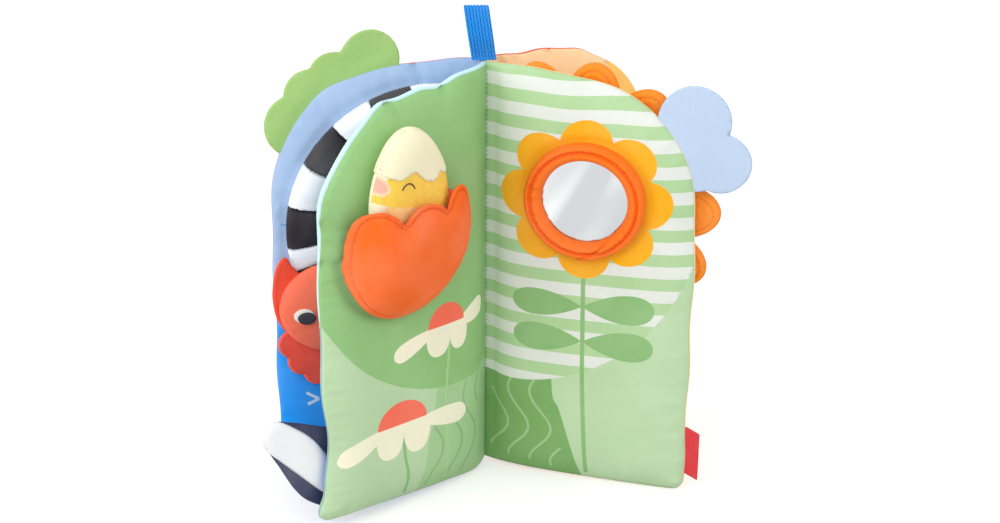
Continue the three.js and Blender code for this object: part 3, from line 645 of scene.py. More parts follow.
@dataclass
class Skin:
    """The outer cloth of a stuffed leaf: how far it stands from the leaf's middle on either side."""

    leaf: Leaf
    creases: Creases
    seed: int
    dents: list[Dent] = field(default_factory=list)
    pulls: tuple[Pull, ...] = ()
    foot: tuple[tuple[float, float], ...] = ((0.0, 3.2), (40.0, 1.0), (114.0, 0.0))
    seam_inset: float = 0.9
    run: float = 7.5
    gutter_run: float = 9.8
    groove: float = 0.5
    wander: float = 0.55

    def shifted(self, points: Array) -> Array:
        """Return flat places moved by the slight unevenness of a hand-fed seam."""
        along, height = points.T
        out = self.wander * np.sin(height / 8.5 + self.seed) * ramp(along, 80.0, WIDTH)
        up = self.wander * np.sin(along / 8.0 + 2.0 * self.seed)
        up *= ramp(height, 140.0, 225.0) * ramp(along, 5.0, 30.0)
        up += np.interp(along, *np.array(self.foot).T) * (1.0 - ramp(height, 0.0, 45.0))
        return points + np.column_stack([out, up]) + sum(pull.at(points) for pull in self.pulls)

    def rise(self, points: Array, facing: int) -> Array:
        """Return how far the cloth stands from the leaf's middle at flat places."""
        seam = leaf_seam(start=-GUTTER)
        outward, along = line_distance(points, seam, False)
        edge = EDGE * rounded(np.minimum(outward, points[:, 0]) / EDGE)
        out = np.maximum(points[:, 0] - GUTTER, 0.0)
        loft = LOFT * (1.0 - np.exp(-out / self.gutter_run)) * (1.0 - np.exp(-outward / self.run))
        inward = outward - self.seam_inset
        relief = self.creases.at(points, facing) * ramp(points[:, 0], GUTTER, 3.0 * GUTTER)
        relief += gathers(along, np.maximum(inward, 0.0), run_of(seam)[-1], 0.6, 7.5, 8.5, self.seed + facing)
        if facing > 0:
            relief -= self.groove * np.exp(-(inward / 0.85) ** 2)
            relief -= sum(dent.at(points) for dent in self.dents)
        return np.maximum(edge + loft + relief * ramp(loft, 0.0, 1.2), 0.0)


def linear(code: str) -> tuple[float, float, float, float]:
    """Return a written colour, such as #93C47D, as the linear colour that a shader takes."""
    values = [int(code[i:i + 2], 16) / 255.0 for i in (1, 3, 5)]
    red, green, blue = [v / 12.92 if v <= 0.04045 else ((v + 0.055) / 1.055) ** 2.4 for v in values]
    return red, green, blue, 1.0


def tinted(code: str, share: float) -> tuple[float, float, float, float]:
    """Return a written colour made lighter by a share, or darker by a negative one."""
    red, green, blue, _ = linear(code)
    if share < 0:
        return red * (1 + share), green * (1 + share), blue * (1 + share), 1.0
    return red + (1 - red) * share, green + (1 - green) * share, blue + (1 - blue) * share, 1.0


class Nodes:
    """Adds and joins the nodes of one tree."""

    def __init__(self, tree: bpy.types.NodeTree) -> None:
        """Take the tree that the nodes go into."""
        self.tree = tree

    def node(self, kind: str, inputs: dict[str | int, object] | None = None,
             **settings: object) -> bpy.types.Node:
        """Add a node.

        Args:
            kind: Its type.
            inputs: What goes into its sockets, by their names or numbers.
            settings: Its options.
        """
        new = self.tree.nodes.new(kind)
        for name, value in settings.items():
            setattr(new, name, value)
        for key, value in (inputs or {}).items():
            self.feed(new.inputs[key], value)
        return new

    def feed(self, socket: Socket, value: object) -> None:
        """Join a socket to another, or set its value."""
        if isinstance(value, Socket):
            self.tree.links.new(value, socket)
        else:
            socket.default_value = value

    def math(self, operation: str, first: object, second: object) -> Socket:
        """Return the result of a sum on two values or sockets."""
        return self.node("ShaderNodeMath", {0: first, 1: second}, operation=operation).outputs[0]

    def seen(self) -> Socket:
        """Return whether a ray comes straight from the camera, or by way of gloss or glass."""
        path = self.node("ShaderNodeLightPath").outputs
        straight = self.math("MAXIMUM", path["Is Camera Ray"], path["Is Glossy Ray"])
        return self.math("MAXIMUM", straight, path["Is Transmission Ray"])


class Shader(Nodes):
    """The nodes of one material, which starts as a bare Principled surface."""

    def __init__(self, name: str) -> None:
        """Start a material."""
        self.material = bpy.data.materials.new(name)
        self.material.use_nodes = True
        super().__init__(self.material.node_tree)
        self.surface = self.tree.nodes["Principled BSDF"]
        self.place = self.node("ShaderNodeTexCoord").outputs["Object"]

    def scaled(self, size: Sequence[float]) -> Socket:
        """Return the place on the object, stretched by a size along each axis."""
        return self.node("ShaderNodeMapping", {"Vector": self.place, "Scale": size}).outputs[0]

    def noise(self, scale: float, detail: float = 2.0, place: Socket | None = None,
              distortion: float = 0.0) -> Socket:
        """Return a soft random pattern, in repeats per metre."""
        inputs = {"Vector": self.place if place is None else place, "Scale": scale, "Detail": detail,
                  "Distortion": distortion}
        return self.node("ShaderNodeTexNoise", inputs).outputs["Fac"]

    def cells(self, scale: float, place: Socket | None = None) -> Socket:
        """Return the distance to scattered points, in cells per metre."""
        inputs = {"Vector": self.place if place is None else place, "Scale": scale}
        return self.node("ShaderNodeTexVoronoi", inputs).outputs["Distance"]

    def between(self, value: Socket, low: float, high: float, start: float, end: float) -> Socket:
        """Return a value carried from one range to another, and kept within it."""
        inputs = {"From Min": low, "From Max": high, "To Min": start, "To Max": end, "Value": value}
        return self.node("ShaderNodeMapRange", inputs).outputs[0]

    def blend(self, share: Socket, first: object, second: object) -> Socket:
        """Return a colour between two."""
        mixed = self.node("ShaderNodeMix", data_type="RGBA")
        for name, value in (("Factor", share), ("A", first), ("B", second)):
            self.feed(mixed.inputs[name], value)
        return next(s for s in mixed.outputs if s.type == "RGBA")

    def relief(self, height: Socket, depth: float, strength: float, under: Socket | None = None) -> Socket:
        """Return a bump of a real depth in metres, over another bump where one is given."""
        bump = self.node("ShaderNodeBump", {"Strength": strength, "Distance": depth, "Height": height})
        if under is not None:
            self.feed(bump.inputs["Normal"], under)
        return bump.outputs[0]

    def finish(self, colour: object, roughness: object, normal: Socket | None = None,
               **values: object) -> bpy.types.Material:
        """Set the surface's sockets and return the material."""
        values = {"Base Color": colour, "Roughness": roughness, "Normal": normal} | values
        for name, value in values.items():
            if value is not None:
                self.feed(self.surface.inputs[name.replace("_", " ")], value)
        return self.material


@dataclass(frozen=True)
class Layer:
    """One layer of a cloth's relief: a pattern, its real depth in metres and its strength."""

    scale: float
    depth: float
    strength: float
    detail: float = 2.0
    distortion: float = 0.0
    stretch: tuple[float, float, float] | None = None
    tufted: bool = False

    def over(self, shader: Shader, under: Socket | None) -> Socket:
        """Return the layer's bump over the one below it."""
        place = shader.scaled(self.stretch) if self.stretch else None
        pattern = (shader.cells(self.scale, place) if self.tufted
                   else shader.noise(self.scale, self.detail, place, self.distortion))
        return shader.relief(pattern, self.depth, self.strength, under)


def fine(depth: float, strength: float) -> Layer:
    """Return the fine unevenness that most cloths share."""
    return Layer(420.0, depth, strength, 3.0)


class Weave(Enum):
    """How a cloth is made: how much its grain darkens it, and its layers of relief from the lowest up."""

    VELOUR = (0.03, (Layer(150.0, 0.0006, 0.35), fine(0.0003, 0.35), Layer(2600.0, 0.00022, 0.5)))
    PLUSH = (0.1, (fine(0.0005, 0.5), Layer(1300.0, 0.0005, 0.55, stretch=(1.0, 1.0, 0.75), tufted=True)))
    FELT = (0.05, (fine(0.0003, 0.35), Layer(1500.0, 0.0003, 0.45, 4.0, 1.6)))
    SATEEN = (0.03, (Layer(120.0, 0.0005, 0.3), Layer(900.0, 0.00018, 0.4, stretch=(1.0, 1.0, 5.0))))
    WEBBING = (0.08, (fine(0.0003, 0.4), Layer(1700.0, 0.0004, 0.7, stretch=(1.6, 1.0, 1.0), tufted=True)))
    THREAD = (0.05, (Layer(5200.0, 0.00012, 0.6, 1.0),))


@dataclass(frozen=True)
class Cloth:
    """A cloth finish: its colour, its weave, how uneven its colour is and how it shines."""

    colour: str
    weave: Weave = Weave.VELOUR
    mottle: float = 0.05
    roughness: float = 0.8
    sheen: float = 0.1

    def material(self, name: str) -> bpy.types.Material:
        """Build the finish's material."""
        shader = Shader(name)
        grain, layers = self.weave.value
        patches = shader.between(shader.noise(38.0), 0.3, 0.7, 0.0, 1.0)
        shade = shader.blend(patches, tinted(self.colour, -self.mottle),
                             tinted(self.colour, self.mottle * 0.8))
        specks = shader.between(shader.noise(420.0, 3.0), 0.35, 0.7, 0.0, grain)
        normal = None
        for layer in layers:
            normal = layer.over(shader, normal)
        return shader.finish(shader.blend(specks, shade, tinted(self.colour, -0.6)), self.roughness, normal,
                             Sheen_Weight=self.sheen, Sheen_Roughness=0.45,
                             Sheen_Tint=tinted(self.colour, 0.3), Specular_IOR_Level=0.28)


@dataclass(frozen=True)
class SoftMirror:
    """A silvered plastic film, gently wavy, with a painted reflection: soft diagonal bands of darker and
    lighter grey.
    """

    colour: str = "#DDE0E2"

    def material(self, name: str) -> bpy.types.Material:
        """Build the film's material."""
        shader = Shader(name)
        waves = shader.relief(shader.noise(26.0, 1.0), 0.004, 0.28)
        scuffs = shader.between(shader.noise(900.0, 4.0, distortion=2.0), 0.55, 0.75, 0.16, 0.23)
        # Painted reflection: soft diagonal bands of darker and lighter grey are fixed on the film and stand in
        # for what the mirror reflects.
        reflection_slant = shader.node("ShaderNodeMapping", {
            "Vector": shader.place, "Location": (0.0555, 0.0, 0.164),
            "Rotation": (0.0, math.radians(34.0), 0.0), "Scale": (1.0, 1.0, 9.0)}, vector_type="TEXTURE")
        cloud = shader.between(shader.noise(46.0, 1.0, reflection_slant.outputs[0]), 0.4, 0.6, 0.0, 1.0)
        tint = shader.blend(cloud, tinted(self.colour, -0.28), tinted(self.colour, 0.1))
        return shader.finish(tint, scuffs, waves, Metallic=1.0)


@dataclass(frozen=True)
class CrinkleFilm:
    """A clear crackling film inside a leaf."""

    colour: str = "#E4E8EA"

    def material(self, name: str) -> bpy.types.Material:
        """Build the film's material."""
        shader = Shader(name)
        folds = shader.relief(shader.cells(90.0), 0.002, 0.7)
        tint = shader.blend(shader.noise(60.0), linear(self.colour), tinted(self.colour, -0.12))
        return shader.finish(tint, 0.22, folds, Specular_IOR_Level=0.6, Alpha=0.85)


def cloths(colours: dict[str, str], weave: Weave = Weave.VELOUR, **looks: float) -> dict[str, Cloth]:
    """Return the finishes of one weave, by their names and colours."""
    return {name: Cloth(colour, weave, **looks) for name, colour in colours.items()}


FINISHES: dict[str, Cloth | SoftMirror | CrinkleFilm] = cloths({
    "circle_green": "#93C47D", "meadow_green": "#BCD9AC", "patch_green": "#A9CF97", "wave_green": "#93BC84",
    "daisy_coral": "#FF7358", "daisy_cream": "#FCF7DC", "stem_light": "#A9D792", "stem_dark": "#8BBE7C",
    "page_sky": "#CDF1F4", "page_sea": "#1E90E4", "page_foam": "#DDF2F5", "stripe_green": "#B1D49D",
    "stripe_white": "#E3E8E0", "leaf_green": "#8BBB77", "thicket_green": "#7BAD63", "thicket_wave": "#9CC98C",
    "page_straw": "#FBE3A0", "page_straw_dot": "#F8CF73", "cover_sky": "#A2BCE0", "cover_sea": "#1498F6",
    "cover_foam": "#C6DDF4", "cover_dash": "#6FA3E0", "cover_pink": "#F08A80", "cover_pink_dot": "#F7B1A2",
    "cover_peach": "#FFD9A5", "cover_gold": "#FFC862", "cover_red": "#EC5A37", "cover_red_dot": "#F58A5E",
    "spine_green": "#86B871", "shell_cream": "#F3ECC8", "whale_white": "#FCFCFF", "ruff_centre": "#FFC24A",
    "arch_white": "#FAFBFF", "eye_black": "#35323A",
}) | cloths({
    "chick_gold": "#FFD450", "chick_belly": "#FFD48C", "chick_cheek": "#FDB5A0", "chick_blush": "#FAC6A6",
    "chick_haze": "#F8DDB8",
}, Weave.PLUSH) | cloths({
    "bush_felt": "#A2C874", "crab_claw": "#FF4A28", "crab_skirt": "#FF5842",
}, Weave.FELT, roughness=0.95) | cloths({
    "thread_green": "#5C8F50", "thread_orange": "#D9480F", "thread_tulip": "#D4430C",
    "thread_amber": "#C85A10", "thread_blue": "#1A72C8", "thread_red": "#DB4432",
}, Weave.THREAD, roughness=0.5) | {
    "petal_gold": Cloth("#FAB200", sheen=0.05),
    "tulip": Cloth("#FF6C18", mottle=0.08, sheen=0.0),
    "back_petal": Cloth("#F0561A", mottle=0.06, sheen=0.0),
    "ruff": Cloth("#FF8F12", mottle=0.06, sheen=0.0),
    "whale_navy": Cloth("#3C4060", mottle=0.08),
    "arch_black": Cloth("#302C32", mottle=0.1, sheen=0.04),
    "chick_line": Cloth("#6B4A36", Weave.THREAD),
    "ring": Cloth("#FF7600", Weave.SATEEN, roughness=0.65, sheen=0.0),
    "tag": Cloth("#D92B34", Weave.SATEEN, roughness=0.6),
    "cloud_felt": Cloth("#BDD0EA", Weave.FELT, mottle=0.03, roughness=0.95),
    "crab_head": Cloth("#FF7656", Weave.FELT, mottle=0.03, roughness=0.92),
    "eye_white": Cloth("#F2ECDF", Weave.FELT),
    # The webbing's two blues are lit and shaded copies of one blue: the lighter one is a painted highlight on
    # the ridges, and the darker one is painted shade in the grooves.
    "webbing": Cloth("#0A9CF2", Weave.WEBBING, roughness=0.7, sheen=0.02),
    "webbing_groove_shade": Cloth("#0068C6", Weave.WEBBING, roughness=0.8, sheen=0.0),
    "batting": Cloth("#F4F2EC", Weave.PLUSH, roughness=1.0),
    "mirror": SoftMirror(),
    "crinkle": CrinkleFilm(),
}


@lru_cache(maxsize=None)
def finish_of(name: str) -> bpy.types.Material:
    """Return the material of a named finish, built when it is first asked for."""
    return FINISHES[name].material(name)


def added(name: str, data: bpy.types.ID) -> Piece:
    """Add an object to the scene."""
    new = bpy.data.objects.new(name, data)
    bpy.context.scene.collection.objects.link(new)
    return new


def build(name: str, points: Array, faces: Sequence[Sequence[int]], finishes: Sequence[str],
          choice: Sequence[int] | Array = (), flip: bool | None = None) -> Piece:
    """Make a mesh object with its finishes.

    Args:
        name: The piece's name.
        points: Its places, in metres.
        faces: Its faces.
        finishes: The names of its finishes.
        choice: Which finish each face has; all have the first where none is given.
        flip: Whether to turn every face over, which a closed piece finds out by itself.
    """
    mesh = bpy.data.meshes.new(name)
    listed = [list(map(int, face)) for face in faces]
    if flip is None:
        flip = volume_of(points, listed) < 0
    mesh.from_pydata(points.tolist(), [], [face[::-1] for face in listed] if flip else listed)
    for finish in finishes:
        mesh.materials.append(finish_of(finish))
    mesh.polygons.foreach_set("use_smooth", [True] * len(mesh.polygons))
    if len(choice):
        mesh.polygons.foreach_set("material_index", [int(c) for c in choice])
    mesh.validate()
    mesh.update()
    return added(name, mesh)


def volume_of(points: Array, faces: Sequence[Sequence[int]]) -> float:
    """Return the signed volume of a closed mesh."""
    fans = np.array([[face[0], second, third] for face in faces for second, third in zip(face[1:], face[2:])])
    a, b, c = (points[fans[:, k]] for k in range(3))
    return float((a * np.cross(b, c)).sum() / 6.0)


def tube_faces(rings: int, sides: int, closed: bool = False) -> list[list[int]]:
    """Return the faces of a tube.

    Args:
        rings: How many rings of points it has.
        sides: How many points each ring has.
        closed: Whether its last ring joins its first; otherwise it has an end face at either end.
    """
    faces = [[r * sides + k, r * sides + (k + 1) % sides, (r + 1) % rings * sides + (k + 1) % sides,
              (r + 1) % rings * sides + k] for r in range(rings if closed else rings - 1) for k in range(sides)]
    last = (rings - 1) * sides
    return faces if closed else faces + [list(range(sides))[::-1], list(range(last, last + sides))]


def thread_points(line: Array, side: Array, rise: Array, girth: Array, sides: int,
                  squash: float = 1.0) -> Array:
    """Return the points of a round thread that lies along a line.

    Args:
        line: The line's flat places.
        side: Its normals.
        rise: How far the thread's middle stands from the leaf's middle.
        girth: Its radius.
        sides: How many points go round it.
        squash: How thick it is as a share of its width.
    """
    turn = np.arange(sides) * 2.0 * math.pi / sides
    flat = line[:, None] + side[:, None] * (girth[:, None] * np.cos(turn))[:, :, None]
    return np.dstack([flat, rise[:, None] + squash * girth[:, None] * np.sin(turn)]).reshape(-1, 3)


def tally(piece: Piece, body: str, nodes: Sequence[str] = ()) -> Piece:
    """Attach a piece to the body that it rides on, and hide the nodes that it stands for.

    Args:
        piece: The piece.
        body: What it rides on.
        nodes: The nodes that it stands for.
    """
    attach(piece, body)
    if nodes:
        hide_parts(*nodes)
    LOG.info("%s rides on %s", piece.name, body)
    return piece


def thicken(piece: Piece, thick: float, offset: float) -> None:
    """Give a cloth its thickness: outward where the offset is 1, inward where it is -1."""
    wall = piece.modifiers.new("thickness", "SOLIDIFY")
    wall.thickness, wall.offset = thick * MM, offset


def sewn(name: str, leaf: Leaf, outline: Array, upper: Profile, under: Profile, finish: str,
         prints: Sequence[Print] = (), spacing: float = 1.8, rows: Sequence[float] = (0.4, 1.0, 1.8)) -> Piece:
    """Make a closed soft piece between two faces that meet along an outline.

    Args:
        name: The piece's name.
        leaf: The leaf that it lies on.
        outline: Its closed outline.
        upper: How far its upper face stands from the leaf's middle, by place and distance inward.
        under: The same for its under face.
        finish: Its finish.
        prints: Patches of other finishes on the upper face.
        spacing: The size of its triangles.
        rows: Where rows of points follow its outline.
    """
    cut = cut_out(outline, spacing, [p.outline for p in prints], rows)
    flat, faces, _ = quilted(cut, cut.points, upper(cut.points, cut.inward), under(cut.points, cut.inward))
    tags = cut.topmost(range(1, len(prints) + 1))
    return build(name, leaf.lay(flat), faces, [finish] + [p.finish for p in prints],
                 np.concatenate([tags, np.zeros(len(tags), int)]))


def plump(seat: float, thick: float, reach: float, seed: int = 0, pucker: float = 0.25,
          pitch: float = 5.0) -> Profile:
    """Return the face of a stuffed pad: thin at its sewn rim, full in its middle, gathered between.

    Args:
        seat: Where its rim is, in front of the leaf's middle; behind it where thick is negative.
        thick: How far its middle stands past its rim.
        reach: How far inside its rim it is full.
        seed: Which draw of puckers it has.
        pucker: How high they stand.
        pitch: Their mean spacing.
    """
    def face(points: Array, inward: Array) -> Array:
        """Return how far the pad's face stands at flat places."""
        total = 4.0 * math.pi * reach
        around = np.arctan2(*(points - points.mean(axis=0)).T[::-1]) * total / (2.0 * math.pi)
        folds = gathers(around, inward, total, pucker, pitch, reach * 0.4, seed)
        return seat + thick * rounded(inward / reach) + math.copysign(1.0, thick) * folds

    return face


def flat_at(proud: float) -> Callable[..., Array]:
    """Return a face that lies at one distance from the leaf's middle."""
    return lambda points, *inward: np.full(len(points), proud)


@dataclass(frozen=True)
class Felt:
    """Flat felt on a leaf: its thickness, how it is held, what it rests on and how its edge is cut."""

    leaf: Leaf
    thick: float
    held: str
    rests_on: str
    rows: tuple[float, ...]

    def face(self, middle: Callable[[Array], Array], facing: int) -> Profile:
        """Return one face of the felt, with a rounded edge."""
        half = facing * self.thick / 2.0
        return lambda points, inward: middle(points) + half * rounded(2.0 * inward / self.thick)

    def make(self, name: str, outline: Array, middle: Callable[[Array], Array], finish: str, slot: str,
             node: str) -> None:
        """Cut and lay a piece of felt.

        Args:
            name: The piece's name.
            outline: Its closed outline.
            middle: How far its middle stands from the leaf's middle at flat places.
            finish: Its finish.
            slot: Not used.
            node: The node that it stands for.
        """
        piece = sewn(name, self.leaf, outline, self.face(middle, 1), self.face(middle, -1), finish,
                     rows=self.rows)
        tally(piece, self.leaf.body, [node])


@dataclass(frozen=True)
class Stitching:
    """A row of sewn stitches: their length, the gap between them and the thread."""

    length: float = 2.1
    gap: float = 1.0
    radius: float = 0.24
    sides: int = 6
    parts: tuple[float, ...] = (0.0, 0.25, 0.5, 0.75, 1.0)
    girth: tuple[float, ...] = (0.3, 0.95, 1.0, 0.95, 0.3)
    lift: tuple[float, ...] = (-0.16, 0.06, 0.12, 0.06, -0.16)

    def sew(self, name: str, leaf: Leaf, runs: Sequence[tuple[Array, Callable[[Array], Array], int]],
            finish: str) -> Piece:
        """Make the stitches of one thread.

        Args:
            name: The piece's name.
            leaf: The leaf that they are sewn on.
            runs: Lines of stitches, each with how far its cloth stands proud, and which way it faces.
            finish: The thread's finish.
        """
        places = []
        for path, proud, facing in runs:
            line = spaced(path, 0.5)
            run = run_of(line)
            starts = np.arange(self.gap / 2.0, run[-1] - self.length, self.length + self.gap)
            at = (starts[:, None] + np.array(self.parts) * self.length).ravel()
            side, line = read_along(at, run, normals_of(line)), read_along(at, run, line)
            rise = proud(line) + facing * np.tile(self.lift, len(starts))
            girth = np.tile(self.girth, len(starts)) * self.radius
            places.append(thread_points(line, side, rise, girth, self.sides))
        flat = np.vstack(places)
        step, tube = len(self.parts) * self.sides, tube_faces(len(self.parts), self.sides)
        faces = [[v + first for v in face] for first in range(0, len(flat), step) for face in tube]
        return build(name, leaf.lay(flat), faces, [finish])


FINE_STITCH = Stitching(length=1.5, gap=0.9, radius=0.17)
BOLD_STITCH = Stitching(length=2.4, gap=1.1, radius=0.28)


@dataclass
class LeafCloth:
    """One of a leaf's two cloths: its node, its finish, its slot and its prints."""

    node: str
    finish: str
    slot: str
    prints: list[Print]


@dataclass
class StuffedLeaf:
    """The two printed cloths of one leaf, sewn together round its edge."""

    skin: Skin
    front: LeafCloth
    back: LeafCloth
    band: Callable[[Array], Array]
    spacing: float = 2.0
    cloth: float = 0.5
    blend_from: float = 3.6
    blend_to: float = 13.0

    def make(self) -> None:
        """Cut, stuff and lay the two cloths, which meet where the band says."""
        edge = leaf_seam(inset=0.05, start=-5.0, spacing=self.spacing)
        edge = edge + normals_of(edge) * np.maximum(self.band(edge[:, 1]), 0.0)[:, None]
        patches = [edge] + [p.outline for p in self.front.prints + self.back.prints]
        cut = cut_out(leaf_outline(self.spacing), self.spacing, patches, rows=(0.45, 1.0, 1.8, 3.5, 4.4))
        flat, faces, _ = quilted(cut, self.skin.shifted(cut.points), self.skin.rise(cut.points, 1),
                                 -self.skin.rise(cut.points, -1))
        points = self.skin.leaf.lay(flat)
        flip = volume_of(points, faces) < 0
        first_back = 2 + len(self.front.prints)
        middles = cut.points[cut.faces].mean(axis=1)
        wrapped = (cut.inward[cut.faces].mean(axis=1) < -self.band(middles[:, 1])) & (middles[:, 0] > GUTTER)
        on_front = np.concatenate([[1 in source for source in cut.sources], wrapped])
        for cloth, chosen, numbers in ((self.front, on_front, range(2, first_back)),
                                       (self.back, ~on_front, range(first_back, len(patches) + 1))):
            self._lay(cloth, *trimmed(points, faces[chosen]), np.tile(cut.topmost(numbers), 2)[chosen], flip)

    def _lay(self, cloth: LeafCloth, points: Array, faces: Array, tags: Array, flip: bool) -> None:
        """Make one cloth of the leaf and give it a thickness."""
        leaf = self.skin.leaf
        piece = build(f"{cloth.node}_cloth", points, faces, [cloth.finish] + [p.finish for p in cloth.prints],
                      tags, flip)
        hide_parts(cloth.node)
        leaf.spot(self.blend_from, 0.0, 0.0)
        leaf.spot(self.blend_to, 0.0, 0.0)
        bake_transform(piece)
        thicken(piece, self.cloth, -1.0)
        LOG.info("%s is blended from the spine to %s", piece.name, leaf.body)


@dataclass
class Spine:
    """The bound core that the four leaves are sewn to."""

    skin: Skin
    foot: float = 3.6
    radius: float = 1.9
    sides: int = 24
    rings: int = 90
    ripple: float = 5.3
    crease: float = 2.9

    def make(self) -> None:
        """Build the core with rounded ends and the small ripples of a bound seam, and its row of stitches."""
        height = np.linspace(self.foot, HEIGHT, self.rings)
        ends = np.minimum(height - self.foot, HEIGHT - height)
        girth = self.radius * np.maximum(rounded(ends / 1.2), 0.2)
        girth += 0.12 * np.sin(height * 2.0 * math.pi / self.ripple) * np.clip(ends / 4.0, 0.0, 1.0)
        angles = np.arange(self.sides) * 2.0 * math.pi / self.sides
        rings = np.stack([girth[:, None] * np.cos(angles), girth[:, None] * np.sin(angles),
                          np.repeat(height[:, None], self.sides, axis=1)], axis=-1)
        core = build("spine_core", rings.reshape(-1, 3) * MM, tube_faces(self.rings, self.sides),
                     ["spine_green"])
        tally(core, "spine", ["spine_binding"])
        row = (np.array([[self.crease, 6.0], [self.crease, 226.0]]), lambda p: self.skin.rise(p, 1), 1)
        thread = FINE_STITCH.sew("spine_crease_thread", RIGHT_PAGE, [row], "thread_green")
        tally(thread, "spine")


@dataclass
class HangingLoop:
    """The doubled blue webbing loop sewn in at the top of the spine."""

    wide: float = 12.7
    tall: float = 28.9
    foot: float = 230.3
    half_open: float = 3.9
    web: float = 1.25
    lean: float = 4.2
    stitched: float = 5.0
    supple: float = 7.0
    rib: float = 1.6
    sway: float = 2.4
    columns: int = 56
    steps: int = 330

    def make(self) -> None:
        """Build the webbing as a ribbed strap that runs up, over and down."""
        path = self._path()
        run = run_of(path)
        tangent = np.gradient(path, axis=0)
        tangent /= np.linalg.norm(tangent, axis=1, keepdims=True)
        outward = np.column_stack([-tangent[:, 1], tangent[:, 0]])
        across = np.linspace(-1.0, 1.0, self.columns)
        sway = 0.8 * np.abs(run[:, None] / self.sway % 1.0 - 0.5)
        ribs = np.sin(math.pi * (across * self.wide / 2.0 / self.rib + sway)) ** 2
        half = (self.web / 2.0 + 0.5 * (ribs - 0.6)) * np.sqrt(1.0 - np.abs(across) ** 14)
        place = path[:, None] + outward[:, None] * np.hstack([half, -half[:, ::-1]])[:, :, None]
        lean = self.lean * np.maximum(place[:, :, 1], 0.0) / self.tall
        x = np.concatenate([across, across[::-1]]) * self.wide / 2.0 - lean
        points = np.dstack([x, place[:, :, 0], self.foot + place[:, :, 1]]).reshape(-1, 3) * MM
        faces = tube_faces(self.steps, 2 * self.columns)
        crest = np.hstack([ribs, ribs[:, ::-1]]).ravel()
        # Faces low between the ribs take the darker blue as painted shade in the grooves, and the ridges keep
        # the lighter blue as a painted highlight.
        shaded_grooves = [crest[face].mean() < 0.3 for face in faces]
        loop = build("webbing_loop", points, faces, ["webbing", "webbing_groove_shade"], shaded_grooves)
        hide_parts("hanging_loop")
        self._bend(loop)
        self._tack()

    def _path(self) -> Array:
        """Return the strap's middle line in depth and height, from the near foot over to the far one."""
        share = np.linspace(0.0, 1.0, self.steps)
        highest = self.tall - self.web
        height = highest * np.sin((1.0 - np.abs(2.0 * share - 1.0)) * math.pi / 2.0) ** 1.15
        part = ramp(height, self.stitched * 0.6, self.stitched * 2.6)
        closing = np.sqrt(np.clip(1.0 - (height / highest) ** 6, 0.0, 1.0))
        depth = (self.web * 0.52 + (self.half_open - self.web * 0.5) * part) * closing
        line = np.column_stack([depth * np.where(share < 0.5, -1.0, 1.0), height])
        return spaced(line, run_of(line)[-1] / (self.steps - 1))

    def _tack(self) -> None:
        """Sew the two rows of stitches that hold the loop's plies together."""
        half, proud = self.wide / 2.0 - 1.2, self.web * 1.05 + 0.16
        rows = []
        for height in (2.2, 4.2):
            path = np.array([[-half, self.foot + height], [half, self.foot + height]])
            path[:, 0] -= self.lean * height / self.tall
            rows += [(path, flat_at(facing * proud), facing) for facing in (1, -1)]
        straight = Leaf("loop", 1, 0.0, 0.0, 1.0)
        self._bend(BOLD_STITCH.sew("loop_tack_thread", straight, rows, "thread_blue"))

    def _bend(self, piece: Piece) -> None:
        """Bake the piece's place into its points."""
        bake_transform(piece)
        LOG.info("%s is blended from the spine to the loop", piece.name)


